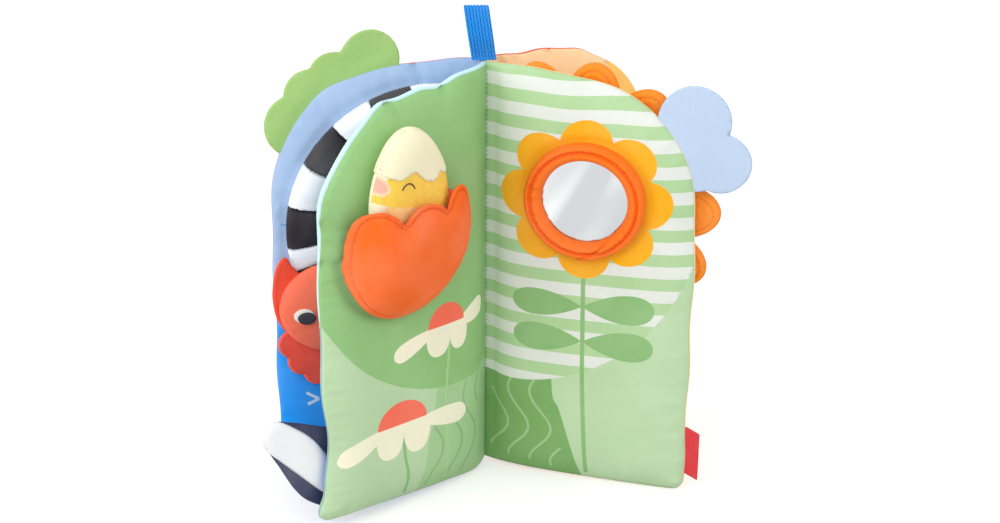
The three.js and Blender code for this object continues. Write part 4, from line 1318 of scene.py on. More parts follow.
@dataclass
class TulipPocket:
    """The orange tulip: a padded pocket of three petals and a darker petal behind it."""

    skin: Skin
    outer: float = 105.5
    inner: float = 25.0
    bottom: float = 112.5
    top: float = 178.5
    depth: float = 19.5
    wall: float = 3.2
    roll: float = 1.7
    inset: float = 2.3

    @staticmethod
    def outline() -> Array:
        """Return the pocket's closed outline: a broad bowl, two lobes and a round pointed petal."""
        bowl = flowing([(81.6, 170.3), (86.6, 175.6), (92.6, 178.2), (100.6, 174.0), (104.2, 160.0),
                        (103.9, 141.0), (96.4, 125.2), (83.0, 115.6), (70.5, 111.8), (56.6, 115.4),
                        (43.0, 132.2), (32.2, 147.0), (31.6, 158.5), (36.2, 172.0), (40.6, 179.6),
                        (46.8, 182.4), (52.0, 179.4), (55.6, 172.0)], 8)
        lobe_top = flowing([(55.6, 172.0), (60.5, 176.2), (68.5, 178.2), (76.0, 175.9), (81.6, 170.3)], 8)
        return spaced(np.vstack([bowl[:-1], lobe_top[:-1]]), 1.6, closed=True)

    def lift(self, points: Array) -> Array:
        """Return how far the pocket bellies out from the page."""
        across = np.where(points[:, 0] > CHICK_ALONG, self.outer - CHICK_ALONG, CHICK_ALONG - self.inner)
        aside = np.clip(np.abs(points[:, 0] - CHICK_ALONG) / across, 0.0, 1.0)
        up = np.clip((points[:, 1] - self.bottom) / (self.top - self.bottom), 0.0, 1.0)
        return self.depth * (1.0 - aside ** 3) * (1.0 - (1.0 - up) ** 3)

    def face(self, points: Array, inward: Array, facing: int) -> Array:
        """Return how far one side of the pocket's wall stands from the leaf's middle."""
        lining = self.skin.rise(points, 1) + 0.4 + self.lift(points)
        return lining + self.wall / 2.0 * (1.0 + facing * rounded(inward / self.roll))

    def make(self) -> None:
        """Build the pocket, its edge stitching and the petal behind it."""
        outline = self.outline()
        total = float(run_of(outline)[-1])

        def upper(points: Array, inward: Array) -> Array:
            """Return how far the padded front stands, with its groove and its gathers."""
            puff = 1.2 * ramp(inward, self.inset, 10.0) - 1.5 * np.exp(-((inward - self.inset) / 0.8) ** 2)
            folds = gathers(line_distance(points, outline)[1], inward, total, 0.5, 6.0, 5.0, 31)
            across, up = (points - outline.mean(axis=0)).T
            broad = 0.5 * np.sin(across / 13.0 + 0.8) * np.cos(up / 17.0) * ramp(inward, 3.0, 12.0)
            return self.face(points, inward, 1) + puff + folds + broad

        pocket = sewn("tulip_pocket_pad", LEFT_PAGE, outline, upper, lambda p, d: self.face(p, d, -1),
                      "tulip", spacing=1.9, rows=(0.35, 0.9, 1.5, 2.0, 2.5, 3.1, 3.9, 5.0))
        tally(pocket, "left_page", ["tulip_pocket"])
        seam = (stitch_line(outline, self.inset), lambda p: upper(p, np.full(len(p), self.inset)) + 0.02, 1)
        thread = FINE_STITCH.sew("tulip_edge_thread", LEFT_PAGE, [seam], "thread_tulip")
        tally(thread, "left_page")
        self._back_petal()

    @staticmethod
    def _back_petal() -> None:
        """Build the thin darker petal that stands behind the pocket's inner tip."""
        outline = spaced(ellipse((38.6, 160.0), 8.5, 13.0), 1.5, closed=True)
        seat = SEAT - 0.2
        piece = sewn("tulip_petal_behind", LEFT_PAGE, outline, plump(seat, 1.6, 4.0, 5, 0.12),
                     flat_at(seat - 0.4), "back_petal")
        tally(piece, "left_page", ["tulip_back_petal"])


@dataclass
class EggChick:
    """The sleepy chick in its egg: a stuffed egg with a printed face and a cap of shell."""

    along: float = 69.8
    middle: float = 181.9
    tall: float = 63.8
    half_wide: float = 22.8
    half_deep: float = 8.5
    waist: float = 0.2
    spacing: float = 1.7
    rows: tuple[float, ...] = (0.3, 0.8, 1.5, 2.6, 4.0)

    def outline(self) -> Array:
        """Return the egg's outline."""
        angle = np.linspace(0.0, math.pi, 60)
        radius = self.half_wide * np.sin(angle) * (1.0 + self.waist * np.cos(angle))
        height = self.middle - self.tall / 2.0 * np.cos(angle)
        ring = np.vstack([np.column_stack([self.along + radius, height]),
                          np.column_stack([self.along - radius, height])[-2:0:-1]])
        return spaced(ring, 1.6, closed=True)

    def depth(self, points: Array, inward: Array, facing: int) -> Array:
        """Return how far one face of the egg stands from the leaf's middle."""
        swell = self.half_deep * rounded(inward / 13.0)
        offset = points - np.array([self.along, self.middle])
        around = np.arctan2(offset[:, 1], offset[:, 0]) * 24.0
        folds = gathers(around, np.maximum(inward - 1.0, 0.0), 48.0 * math.pi, 0.28, 6.0, 5.0, 40 + facing)
        return SEAT + self.half_deep + facing * (swell * 0.985 + folds)

    def make(self) -> None:
        """Build the stuffed egg, its shell cap and the stitched eye."""
        outline = self.outline()
        centre = np.array([self.along - 1.6, self.middle - 0.8])
        panel = ellipse(centre, self.half_wide - 3.0, self.tall / 2.0 - 2.2, steps=44)
        swell = 1.0 + self.waist * (self.middle - panel[:, 1]) / (self.tall / 2.0)
        panel[:, 0] = centre[0] + (panel[:, 0] - centre[0]) * swell
        side = flowing([(85.3, 194.5), (88.0, 191.0), (91.0, 188.2), (92.6, 185.6), (92.8, 181.4)], 5)
        below = flowing([(81.1, 178.2), (71.0, 176.1), (53.8, 172.6), (44.0, 171.0)], 5)
        gold = np.vstack([side, below, [[44.0, 200.0], [85.0, 200.0]]])
        prints = printed("chick_belly", panel) + printed("chick_gold", gold)
        for wide, finish in ((6.3, "chick_haze"), (5.1, "chick_blush"), (3.9, "chick_cheek")):
            prints += printed(finish, ellipse((91.2, 190.4), wide, wide * 0.72, 50.0, 26))

        def upper(points: Array, inward: Array) -> Array:
            """Return how far the face stands, drawn in along the panel's seam."""
            seam = line_distance(points, panel)[0]
            return self.depth(points, inward, 1) - 0.5 * np.exp(-(seam / 0.8) ** 2)

        body = sewn("egg_chick_body", LEFT_PAGE, outline, upper, lambda p, d: self.depth(p, d, -1),
                    "shell_cream", prints, self.spacing, self.rows)
        tally(body, "chick", ["chick_body"])
        self._shell(outline)
        self._eye(outline, upper)

    def _shell(self, outline: Array) -> None:
        """Build the cap of shell with its wavy hem, a cloth that lies close over the top of the egg."""
        hem = flowing([(108.0, 196.5), (96.5, 194.0), (91.0, 196.2), (85.6, 193.6), (80.5, 192.0),
                       (72.6, 194.4), (68.9, 191.2), (64.6, 188.2), (60.2, 187.9), (56.4, 191.2),
                       (52.6, 189.2), (47.0, 191.0), (36.0, 189.0)], 7)
        region = np.vstack([hem, [[30.0, 225.0], [112.0, 225.0]]])
        cut = cut_out(outline, self.spacing, [region], self.rows)
        high, low = (self.depth(cut.points, cut.inward, facing) for facing in (1, -1))
        flat, faces, _ = quilted(cut, cut.points, high, low)
        points, faces = trimmed(LEFT_PAGE.lay(flat), faces[np.tile(cut.topmost([1]) > 0, 2)])
        shell = build("egg_shell_cap", points, faces, ["shell_cream"], flip=LEFT_PAGE.side < 0)
        thicken(shell, 0.7, 1.0)
        tally(shell, "chick", ["chick_shell"])

    @staticmethod
    def _eye(outline: Array, upper: Profile) -> None:
        """Embroider the closed eye."""
        line = flowing([(80.2, 186.6), (78.6, 188.6), (76.3, 189.4), (74.0, 188.3), (72.4, 185.8)], 8)
        rise = upper(line, line_distance(line, outline)[0]) + 0.12
        order = np.arange(len(line))
        girth = 0.42 * np.sqrt(np.clip(np.minimum(order, order[::-1]) / 3.0, 0.12, 1.0))
        points = LEFT_PAGE.lay(thread_points(line, normals_of(line), rise, girth, 8, 0.7))
        eye = build("chick_closed_eye", points, tube_faces(len(line), 8), ["chick_line"])
        tally(eye, "chick")


@dataclass
class Whale:
    """The stuffed whale behind the left page, with a white belly on its near side."""

    thick: float = 9.0

    def make(self) -> None:
        """Build the body and the belly on its near side."""
        outline = spaced(flowing([(48.0, 31.0), (62.0, 40.0), (84.0, 48.0), (105.0, 54.6), (123.0, 62.6),
                                  (136.0, 67.6), (142.6, 67.2), (145.2, 62.0), (142.6, 54.6), (135.0, 40.8),
                                  (126.0, 24.6), (117.0, 15.0), (104.0, 7.8), (86.0, 5.6), (66.0, 11.0),
                                  (53.0, 20.0), (48.0, 31.0)], 9), 1.8, closed=True)
        far = plump(-SEAT - 1.0, -self.thick + 1.0, 17.0, 51, 0.4, 7.0)
        body = sewn("whale_navy_body", LEFT_PAGE, outline, flat_at(-SEAT + 0.1), far, "whale_navy",
                    spacing=2.1, rows=(0.4, 1.0, 1.9, 3.0))
        tally(body, "left_page", ["whale_body"])
        patch = spaced(flowing([(100.0, 24.0), (102.5, 32.5), (107.8, 41.0), (116.4, 52.6), (125.9, 61.2),
                                (136.0, 68.2), (143.0, 68.2), (146.0, 62.4), (143.4, 54.6), (136.3, 46.4),
                                (122.2, 31.2), (109.2, 18.0), (102.4, 16.6), (100.0, 24.0)], 7), 1.6,
                       closed=True)
        puff = plump(0.0, 2.4, 6.0, 52, 0.2, 5.0)
        belly = sewn("whale_white_belly", LEFT_PAGE, patch,
                     lambda p, d: np.maximum(self.wrap(p), -SEAT + 0.3) + puff(p, d), self.wrap, "whale_white",
                     spacing=1.7)
        tally(belly, "left_page", ["whale_belly"])

    @staticmethod
    def wrap(points: Array, *_: Array) -> Array:
        """Return where the belly's under side lies: on the body, and behind it round the nose."""
        return -SEAT + 0.1 - 3.4 * ramp(points[:, 0] + 0.4 * points[:, 1], 161.0, 171.0)


@dataclass
class SoftMirrorDisc:
    """The mirror film and the padded, bound ring over its rim."""

    along: float = 57.5
    height: float = 163.8
    film: float = 24.0
    inner: float = 22.0
    outer: float = 31.2
    tall: float = 6.6
    seam: float = 0.42

    def make(self) -> None:
        """Build the film, the ring and the thread in its groove."""
        disc = spaced(arc((self.along, self.height), self.film, 0.0, 360.0, 120)[:-1], 2.0, closed=True)
        film = sewn("mirror_film_disc", RIGHT_PAGE, disc, flat_at(SEAT + 0.6), flat_at(SEAT), "mirror",
                    spacing=2.4, rows=(0.4,))
        tally(film, "right_page", ["mirror_film"])
        self._ring()
        self._thread()

    def radius(self, share: Array | float) -> Array | float:
        """Return the ring's radius at shares across its face, from its outer edge in."""
        return self.outer + (self.inner - self.outer) * share

    def lift(self, share: Array, angle: Array) -> Array:
        """Return the ring's height at shares across its face and angles round it."""
        arch = np.maximum(1.0 - np.abs(2.0 * share - 1.0) ** 2.4, 0.0) ** 0.5
        groove = 2.7 * np.exp(-((share - self.seam) / 0.1) ** 2)
        reach, total = angle * self.outer, 2.0 * math.pi * self.outer
        folds = gathers(reach, np.abs(share - self.seam) * 10.0, total, 0.55, 5.5, 3.4, 61)
        folds += gathers(reach, (1.0 - share) * 10.0, total, 0.35, 6.0, 3.0, 62)
        past = np.angle(np.exp(1j * (angle - math.radians(-99.0) - share * 0.8)))
        lap = 2.2 * ramp(past, 0.0, 0.03) * ramp(-past, -0.5, -0.1) - 1.3 * np.exp(-(past / 0.03) ** 2)
        return (self.tall + folds + lap) * arch - groove * (arch > 0.2)

    def _ring(self) -> None:
        """Build the ring as a closed padded band with a groove and a lapped end."""
        steps, across = 300, 34
        share, angle = np.meshgrid((1.0 - np.cos(np.linspace(0.0, math.pi, across))) / 2.0,
                                   np.arange(steps) * 2.0 * math.pi / steps)
        radius = self.radius(share)
        face = np.dstack([self.along + radius * np.cos(angle), self.height + radius * np.sin(angle),
                          SEAT + self.lift(share, angle)])
        under = face[:, -2:0:-1].copy()
        under[:, :, 2] = np.where(radius[:, -2:0:-1] > self.film + 0.6, SEAT - 0.3,
                                  np.minimum(SEAT + 0.62, under[:, :, 2] - 0.2))
        points = RIGHT_PAGE.lay(np.concatenate([face, under], axis=1).reshape(-1, 3))
        ring = build("mirror_padded_ring", points, tube_faces(steps, 2 * across - 2, closed=True), ["ring"])
        tally(ring, "right_page", ["mirror_ring"])

    def _thread(self) -> None:
        """Sew the ring's groove."""
        def rise(points: Array) -> Array:
            """Return how high the groove is at flat places."""
            angle = np.arctan2(points[:, 1] - self.height, points[:, 0] - self.along)
            return SEAT + self.lift(np.full(len(points), self.seam), angle) + 0.05

        row = (arc((self.along, self.height), self.radius(self.seam), 0.0, 360.0, 400), rise, 1)
        thread = FINE_STITCH.sew("mirror_ring_thread", RIGHT_PAGE, [row], "thread_orange")
        tally(thread, "right_page")


@dataclass
class Ruff:
    """The ring of round padded petals behind the right page, about a plain centre."""

    centre: tuple[float, float] = (47.0, 155.0)
    orbit: float = 59.0
    reach: float = 19.5
    half_wide: float = 14.3
    thick: float = 5.0
    seam: float = 3.7
    petals: int = 9
    first: float = 106.6
    step: float = 26.2

    def make(self) -> None:
        """Build the petals and the centre, each petal with its line of stitches."""
        for index in range(self.petals):
            angle = self.first - index * self.step
            out = np.array([math.cos(math.radians(angle)), math.sin(math.radians(angle))])
            place = np.array(self.centre) + self.orbit * out
            outline = spaced(ellipse(place, self.reach, self.half_wide, angle), 1.6, closed=True)
            piece = self._pad(f"ruff_petal_pad_{index + 1}", outline, "ruff", self.thick, 71 + index)
            tally(piece, "right_page", [f"ruff_petal_{index + 1}"])
            self._petal_thread(index, place, angle)
        outline = spaced(ellipse((self.centre[0] + 3.0, self.centre[1]), 34.0, 38.0), 2.0, closed=True)
        piece = self._pad("ruff_centre_pad", outline, "ruff_centre", 4.5, 70)
        tally(piece, "right_page", ["ruff_centre"])

    def near_face(self, points: Array, inward: Array) -> Array:
        """Return the ruff's face towards the reader: flat on the page, plump past its edge."""
        grooves = np.exp(-((inward - self.seam) / 0.75) ** 2) + 0.7 * np.exp(-((inward - 7.6) / 0.8) ** 2)
        puff = 3.4 * rounded(inward / 5.0) - grooves
        return -SEAT - 0.1 + puff * ramp(past_seam(points), -5.5, -2.0)

    def _pad(self, name: str, outline: Array, finish: str, thick: float, seed: int) -> Piece:
        """Build one pad of the ruff."""
        far = plump(-SEAT - 1.0, -thick + 1.0, 8.0, seed, 0.3, 5.5)
        return sewn(name, RIGHT_PAGE, outline, self.near_face,
                    lambda p, d: far(p, d) + 0.7 * np.exp(-((d - self.seam) / 0.8) ** 2), finish, spacing=1.9,
                    rows=(0.4, 1.0, 1.9, 2.8, 3.7, 4.6))

    def _petal_thread(self, index: int, place: Array, angle: float) -> None:
        """Sew the arc of stitches inside a petal's rim, on both faces."""
        line = arc((0.0, 0.0), 1.0, -118.0, 118.0, 80) * (self.reach - self.seam, self.half_wide - self.seam)
        path = turned(line, angle) + place
        near = (path, lambda p: self.near_face(p, np.full(len(p), self.seam)), 1)
        far = (path, flat_at(-SEAT - self.thick + 1.1), -1)
        thread = FINE_STITCH.sew(f"ruff_petal_thread_{index + 1}", RIGHT_PAGE, [near, far], "thread_amber")
        tally(thread, "right_page")


@dataclass
class FeltTab:
    """A tab of felt lobes held in the arched seam of a leaf."""

    felt: Felt
    name: str
    node: str
    finish: str
    anchor_angle: float
    lobes: tuple[tuple[float, float, float], ...]
    tuck: float = 4.0
    curl: float = 1.4

    def make(self) -> None:
        """Build the tab, whose hidden part ends a little inside the seam."""
        outline = lobed(arch_point(np.array([self.anchor_angle]))[0], self.lobes, 240)
        edge = leaf_seam(inset=self.tuck, start=-5.0)
        hidden = inside(outline, edge)
        nearest = line_distance(outline[hidden], edge, False)[1]
        outline[hidden] = read_along(nearest, run_of(edge), edge)
        outline = spaced(outline, 1.4, closed=True)
        self.felt.make(self.name, outline, self.middle, self.finish, self.finish, self.node)

    def middle(self, points: Array) -> Array:
        """Return how far the tab's middle stands: flat in the seam, waved and curled past it."""
        past = np.maximum(past_seam(points), 0.0)
        wave = 0.5 * np.sin(points[:, 0] / 6.0 + points[:, 1] / 9.0)
        return (wave - self.curl * (past / 20.0)) * ramp(past, 0.0, 8.0)


@dataclass
class SideTag:
    """The small bare red ribbon folded into the right page's outer seam."""

    low: float = 10.5
    high: float = 37.5
    proud: float = 6.6
    gauge: float = 0.55
    open: float = 0.5
    rows: int = 40

    def make(self) -> None:
        """Build the folded ribbon with its soft waves."""
        root, tip = WIDTH - 1.5, WIDTH + 0.5 + self.proud
        half = (self.open + self.gauge) / 2.0

        def ply(radius: float) -> Array:
            """Return one side of the folded ribbon, out and back again."""
            bend = arc((tip - half, 0.0), radius, -90.0, 90.0, 13)
            out, back = np.linspace(root, tip - half, 10)[:-1], np.linspace(tip - half, root, 10)[1:]
            return np.vstack([np.column_stack([out, np.full(9, -radius)]), bend,
                              np.column_stack([back, np.full(9, radius)])])

        along, across = np.vstack([ply(half + self.gauge / 2.0), ply(half - self.gauge / 2.0)[::-1]]).T
        heights = np.linspace(self.low, self.high, self.rows)[:, None]
        waves = 0.35 * np.sin(heights / 4.1) * np.clip((along - root) / self.proud, 0.0, 1.2)
        droop = 0.5 * np.maximum(along - WIDTH, 0.0)
        flat = np.dstack([np.tile(along, (self.rows, 1)), heights - droop, across + waves]).reshape(-1, 3)
        count = len(along)
        end = [[i, i + 1, count - 2 - i, count - 1 - i] for i in range(count // 2 - 1)]
        faces = tube_faces(self.rows, count)[:-2] + [quad[::-1] for quad in end]
        faces += [[(self.rows - 1) * count + v for v in quad] for quad in end]
        tag = build("red_side_tag", RIGHT_PAGE.lay(flat), faces, ["tag"])
        tally(tag, "right_page", ["side_tag"])


@dataclass
class StripedArch:
    """The padded arch of black and white pieces on the left cover."""

    skin: Skin
    centre: tuple[float, float] = (31.5, 143.0)
    outer: float = 75.7
    wide: float = 16.4
    thick: float = 6.6
    tip_thick: float = 2.2
    rim: float = 1.4
    turns: tuple[float, ...] = (99.5, 82.5, 65.5, 48.5, 29.8, 11.5, -6.6, -16.5, -26.0)

    def make(self) -> None:
        """Build the eight pieces, white first."""
        for index, (start, end) in enumerate(zip(self.turns, self.turns[1:])):
            self._piece(index, start - 0.1, end + 0.1)

    def _piece(self, index: int, start: float, end: float) -> None:
        """Build one piece between two angles."""
        outline = spaced(np.vstack([arc(self.centre, self.outer, start, end, 24),
                                    arc(self.centre, self.outer - self.wide, end, start, 20)]), 1.6,
                         closed=True)

        def upper(points: Array, inward: Array) -> Array:
            """Return how far the padded face stands."""
            offset = points - np.array(self.centre)
            radius, angle = np.hypot(*offset.T), np.degrees(np.arctan2(offset[:, 1], offset[:, 0]))
            across = np.clip(2.0 * (self.outer - radius) / self.wide - 1.0, -1.0, 1.0)
            share = (self.turns[0] - angle) / (self.turns[0] - self.turns[-1])
            full = self.thick + (self.tip_thick - self.thick) * ramp(share, 0.6, 0.84)
            dome = self.rim + (full - self.rim) * np.sqrt((1.0 - across ** 2) * ramp(share, 0.0, 0.03))
            ends = np.radians(np.minimum(start - angle, angle - end)) * radius
            dip = np.exp(-np.maximum(ends, 0.0) / 1.3)
            folds = gathers(np.radians(angle) * radius, inward, 170.0, 0.45, 6.5, 4.0, 90 + index)
            return SEAT + dome - dip + folds * ramp(share, 1.0, 0.7)

        def under(points: Array, inward: Array) -> Array:
            """Return how far the under face stands, which keeps below the leaf's cloth."""
            return np.minimum(self.skin.rise(points, 1), upper(points, inward)) - 0.3

        colour = "arch_black" if index % 2 else "arch_white"
        piece = sewn(f"arch_pad_{index + 1}", LEFT_COVER, outline, upper, under, colour,
                     rows=(0.35, 0.9, 1.6, 2.5))
        tally(piece, "left_cover", [f"arch_segment_{index + 1}"])


@dataclass
class FeltCrab:
    """The felt crab: two claws and a scalloped skirt under a padded head with two eyes."""

    along: float = 85.0
    height: float = 102.7
    half_wide: float = 28.2
    half_tall: float = 25.2
    thick: float = 6.0
    claw_seat: float = SEAT + 2.6
    head_seat: float = SEAT + 4.5

    def make(self) -> None:
        """Build the claws, the skirt, the head, and the eyes on it."""
        centre = np.array([self.along, self.height])
        claw = flowing([(8.0, -14.0), (21.0, -16.5), (28.8, -6.5), (31.2, 5.0), (30.8, 14.0), (28.6, 23.6),
                        (23.8, 29.2), (19.0, 22.0), (9.0, 12.0), (4.0, 0.0), (8.0, -14.0)], 7)[:-1]
        for facing, name in ((1, "outer"), (-1, "inner")):
            ring = spaced(centre + claw * np.array([facing, 1.0]), 1.5, closed=True)
            self._felt(f"crab_{name}_claw_felt", ring, self.claw_seat + 0.8, 1.7, "crab_claw",
                       f"crab_claw_{name}")
        self._felt("crab_scalloped_skirt", self._skirt(centre), self.claw_seat - 1.2, 1.9, "crab_skirt",
                   "crab_skirt")
        outline = spaced(ellipse(centre, self.half_wide, self.half_tall, steps=90), 1.7, closed=True)
        face = plump(self.head_seat + 0.4, self.thick - 0.4, 20.0, 83, 0.3, 8.0)

        def under(points: Array, inward: Array) -> Array:
            """Return how far the under face stands: over the felt at its rim, on the cloth inside."""
            return self.head_seat + 0.1 - (self.head_seat - SEAT + 0.2) * ramp(inward, 9.0, 14.0)

        head = sewn("crab_padded_head", LEFT_COVER, outline, face, under, "crab_head", spacing=1.9,
                    rows=(0.4, 1.0, 1.8, 2.8))
        tally(head, "left_cover", ["crab_head"])
        for facing, name in ((1, "outer"), (-1, "inner")):
            self._eye(centre + np.array([facing * 14.6, -3.0]), facing, name, outline, face)

    @staticmethod
    def _felt(name: str, outline: Array, middle: float, thick: float, finish: str, node: str) -> None:
        """Build one flat piece of felt with its stitched edge."""
        place = outline.mean(axis=0)

        def level(points: Array) -> Array:
            """Return how far the felt's middle stands, slightly uneven."""
            across, up = (points - place).T
            return middle + 0.35 * np.sin(across / 5.5) * np.cos(up / 7.0)

        slot = f"{finish}_felt"
        felt = Felt(LEFT_COVER, thick, "laid", "left_cover_inner_cloth", (0.3, 0.7, 1.4))
        felt.make(name, outline, level, finish, slot, node)
        row = (stitch_line(outline, 1.9), lambda p: level(p) + thick / 2.0, 1)
        tally(FINE_STITCH.sew(f"{name}_thread", LEFT_COVER, [row], "thread_red"), "left_cover")

    @staticmethod
    def _skirt(centre: Array) -> Array:
        """Return the skirt's scalloped outline."""
        turns = [math.radians(-15.0 - 25.0 * i) for i in range(7)]
        scallops = [(23.6 * math.cos(turn), 25.5 * math.sin(turn), 8.4) for turn in turns]
        return lobed(centre + np.array([-2.0, -14.7]), [(0.0, 0.0, 23.6)] + scallops, 260)

    @staticmethod
    def _eye(place: Array, facing: int, name: str, head: Array, face: Profile) -> None:
        """Build one eye: a black oval over a slightly wider white one."""
        def over(points: Array, extra: float) -> Array:
            """Return places a little over the head's face."""
            return face(points, line_distance(points, head)[0]) + extra

        for part, offset, wide, tall, low, high in (("white", (1.1 * facing, 1.0), 5.4, 4.3, -0.2, 0.5),
                                                    ("black", (0.0, 0.0), 4.7, 3.6, 0.45, 1.2)):
            outline = spaced(ellipse(place + np.array(offset), wide, tall, steps=40), 1.1, closed=True)
            piece = sewn(f"crab_{name}_eye_{part}", LEFT_COVER, outline,
                         lambda p, d, h=high: over(p, h) + 0.4 * np.clip(d / 2.0, 0.0, 1.0) ** 0.5,
                         lambda p, d, h=low: over(p, h), f"eye_{part}", spacing=1.2, rows=(0.3, 0.8))
            tally(piece, "left_cover", [f"crab_eye_{name}"] if part == "black" else [])


@dataclass
class Studio:
    """The pale floor, the soft lamps and the camera at the photograph's viewing angle."""

    floor_size: float = 12.0
    paper_glow: float = 0.43
    ambient: float = 0.83
    lens: float = 65.2
    camera_place: tuple[float, float, float] = (-12.0, -891.4, 486.7)
    pitch: float = 22.41
    yaw: float = 1.343
    roll: float = 0.421
    lamps: tuple[tuple[str, tuple[float, float, float], float, float], ...] = (
        ("key_lamp", (-0.6, -1.05, 1.35), 1.0, 6.6), ("fill_lamp", (1.1, -0.95, 0.8), 1.2, 3.3),
        ("top_lamp", (0.1, 0.35, 1.6), 1.4, 2.4), ("side_lamp", (-1.25, -0.62, 0.55), 0.8, 5.6))

    def make(self) -> None:
        """Set the view, and add the floor, the world, the lamps and the camera."""
        bpy.context.scene.view_settings.view_transform = "Standard"
        self._camera()
        self._floor()
        self._world()
        for lamp in self.lamps:
            self._lamp(*lamp)

    def _camera(self) -> None:
        """Add the camera."""
        data = bpy.data.cameras.new("camera")
        data.lens, data.sensor_width, data.clip_start = self.lens, 36.0, 0.01
        tilt, turn, spin = (math.radians(v) for v in (self.pitch, self.yaw, self.roll))
        forward = Vector((math.sin(turn) * math.cos(tilt), math.cos(turn) * math.cos(tilt), -math.sin(tilt)))
        level = Vector((math.cos(turn), -math.sin(turn), 0.0))
        above = level.cross(forward)
        right = math.cos(spin) * level + math.sin(spin) * above
        up = -math.sin(spin) * level + math.cos(spin) * above
        frame = Matrix((right, up, -forward)).transposed().to_4x4()
        frame.translation = Vector(self.camera_place) * MM
        camera = added("camera", data)
        camera.matrix_world = frame
        bpy.context.scene.camera = camera

    def _floor(self) -> None:
        """Add the floor: pale paper that keeps the book's shadow."""
        half = self.floor_size / 2.0
        mesh = bpy.data.meshes.new("studio_floor")
        mesh.from_pydata([(-half, -half, 0), (half, -half, 0), (half, half, 0), (-half, half, 0)], [],
                         [(0, 1, 2, 3)])
        shader = Shader("studio_paper")
        glow = shader.math("MULTIPLY", shader.seen(), self.paper_glow)
        mesh.materials.append(shader.finish(linear("#D8D8D8"), 0.9, Specular_IOR_Level=0.0,
                                            Emission_Color=linear("#FFFFFF"), Emission_Strength=glow))
        added("studio_floor", mesh)

    def _world(self) -> None:
        """Add the world: white to look at, and a plain level of light on the book."""
        world = bpy.data.worlds.new("studio")
        bpy.context.scene.world = world
        world.use_nodes = True
        nodes = Nodes(world.node_tree)
        light, white = nodes.tree.nodes["Background"], linear("#FFFFFF")
        nodes.feed(light.inputs["Color"], white)
        nodes.feed(light.inputs["Strength"], self.ambient)
        backdrop = nodes.node("ShaderNodeBackground", {"Color": white, "Strength": 1.0})
        mixed = nodes.node("ShaderNodeMixShader",
                           {0: nodes.seen(), 1: light.outputs[0], 2: backdrop.outputs[0]})
        nodes.feed(nodes.tree.nodes["World Output"].inputs["Surface"], mixed.outputs[0])

    @staticmethod
    def _lamp(name: str, place: Sequence[float], size: float, power: float) -> None:
        """Add a soft lamp that looks at the book."""
        data = bpy.data.lights.new(name, "AREA")
        data.shape, data.size, data.energy = "DISK", size, power
        lamp = added(name, data)
        lamp.location = place
        lamp.rotation_euler = (Vector((0.0, 0.0, 0.12)) - Vector(place)).to_track_quat("-Z", "Y").to_euler()


def dots(step: float, radius: float) -> list[Array]:
    """Return a plain pattern of dots over a leaf."""
    rows = []
    area = leaf_seam(inset=9.0, start=GUTTER)
    for j, height in enumerate(np.arange(14.0, HEIGHT, step * 0.87)):
        for along in np.arange(16.0, WIDTH, step) + (j % 2) * step * 0.5:
            if inside(np.array([[along, height]]), area)[0]:
                rows.append(ellipse((along, height), radius, radius, steps=14))
    return rows


def swells(low: float, high: float, step: float, width: float) -> list[Array]:
    """Return rows of plain wavy lines across a leaf."""
    along = np.arange(12.0, WIDTH - 6.0, 3.0)
    return [ribbon(np.column_stack([along, height + 3.4 * np.sin(along / 7.5 + k * 1.9)]), width, 0.8)
            for k, height in enumerate(np.arange(low, high, step))]


def reeds(middles: Sequence[tuple[float, float, float]], reach: float, pitch: float, crest: float,
          finish: str) -> list[Print]:
    """Return plain wavy reeds.

    Args:
        middles: Each reed's middle along the leaf, and its lowest and highest place.
        reach: How far it sways, negative to sway first the other way.
        pitch: The height of one full wave.
        crest: The height at which it sways furthest.
        finish: Its finish.
    """
    prints = []
    for middle, low, high in middles:
        height = np.arange(low, high, 2.0)
        sway = reach * np.cos(2.0 * math.pi * (height - crest) / pitch)
        prints += printed(finish, ribbon(np.column_stack([middle + sway, height]), 1.4))
    return prints


@dataclass(frozen=True)
class Daisy:
    """A plain flower print from the side: a dome, a round lobe on either side of its stem, and two petals."""

    base: float
    left: float
    right: float
    dome: float
    parting: tuple[float, float]
    lobes: tuple[float, float]
    petals: tuple[tuple[tuple[float, float], tuple[float, float], float], ...]

    def prints(self) -> list[Print]:
        """Return its patches, from the undermost up."""
        parts = [petal(root, tip, width, 0.74, 0.3) for root, tip, width in self.petals]
        across = (self.left + 1.2, self.parting[0], self.right - 2.2)
        level = self.parting[1] + 4.0
        for start, end, depth in zip(across, across[1:], self.lobes):
            top = np.array([[end, self.base + 0.4], [start, self.base + 0.4]])
            parts.append(np.vstack([lobe((start, level), (end, level), depth), top]))
        middle, half = (self.left + self.right) / 2.0, (self.left - self.right) / 2.0
        dome = (middle, self.base) + arc((0.0, 0.0), 1.0, 0.0, 180.0, 25) * (half, self.dome)
        return printed("daisy_cream", *parts) + printed("daisy_coral", dome)


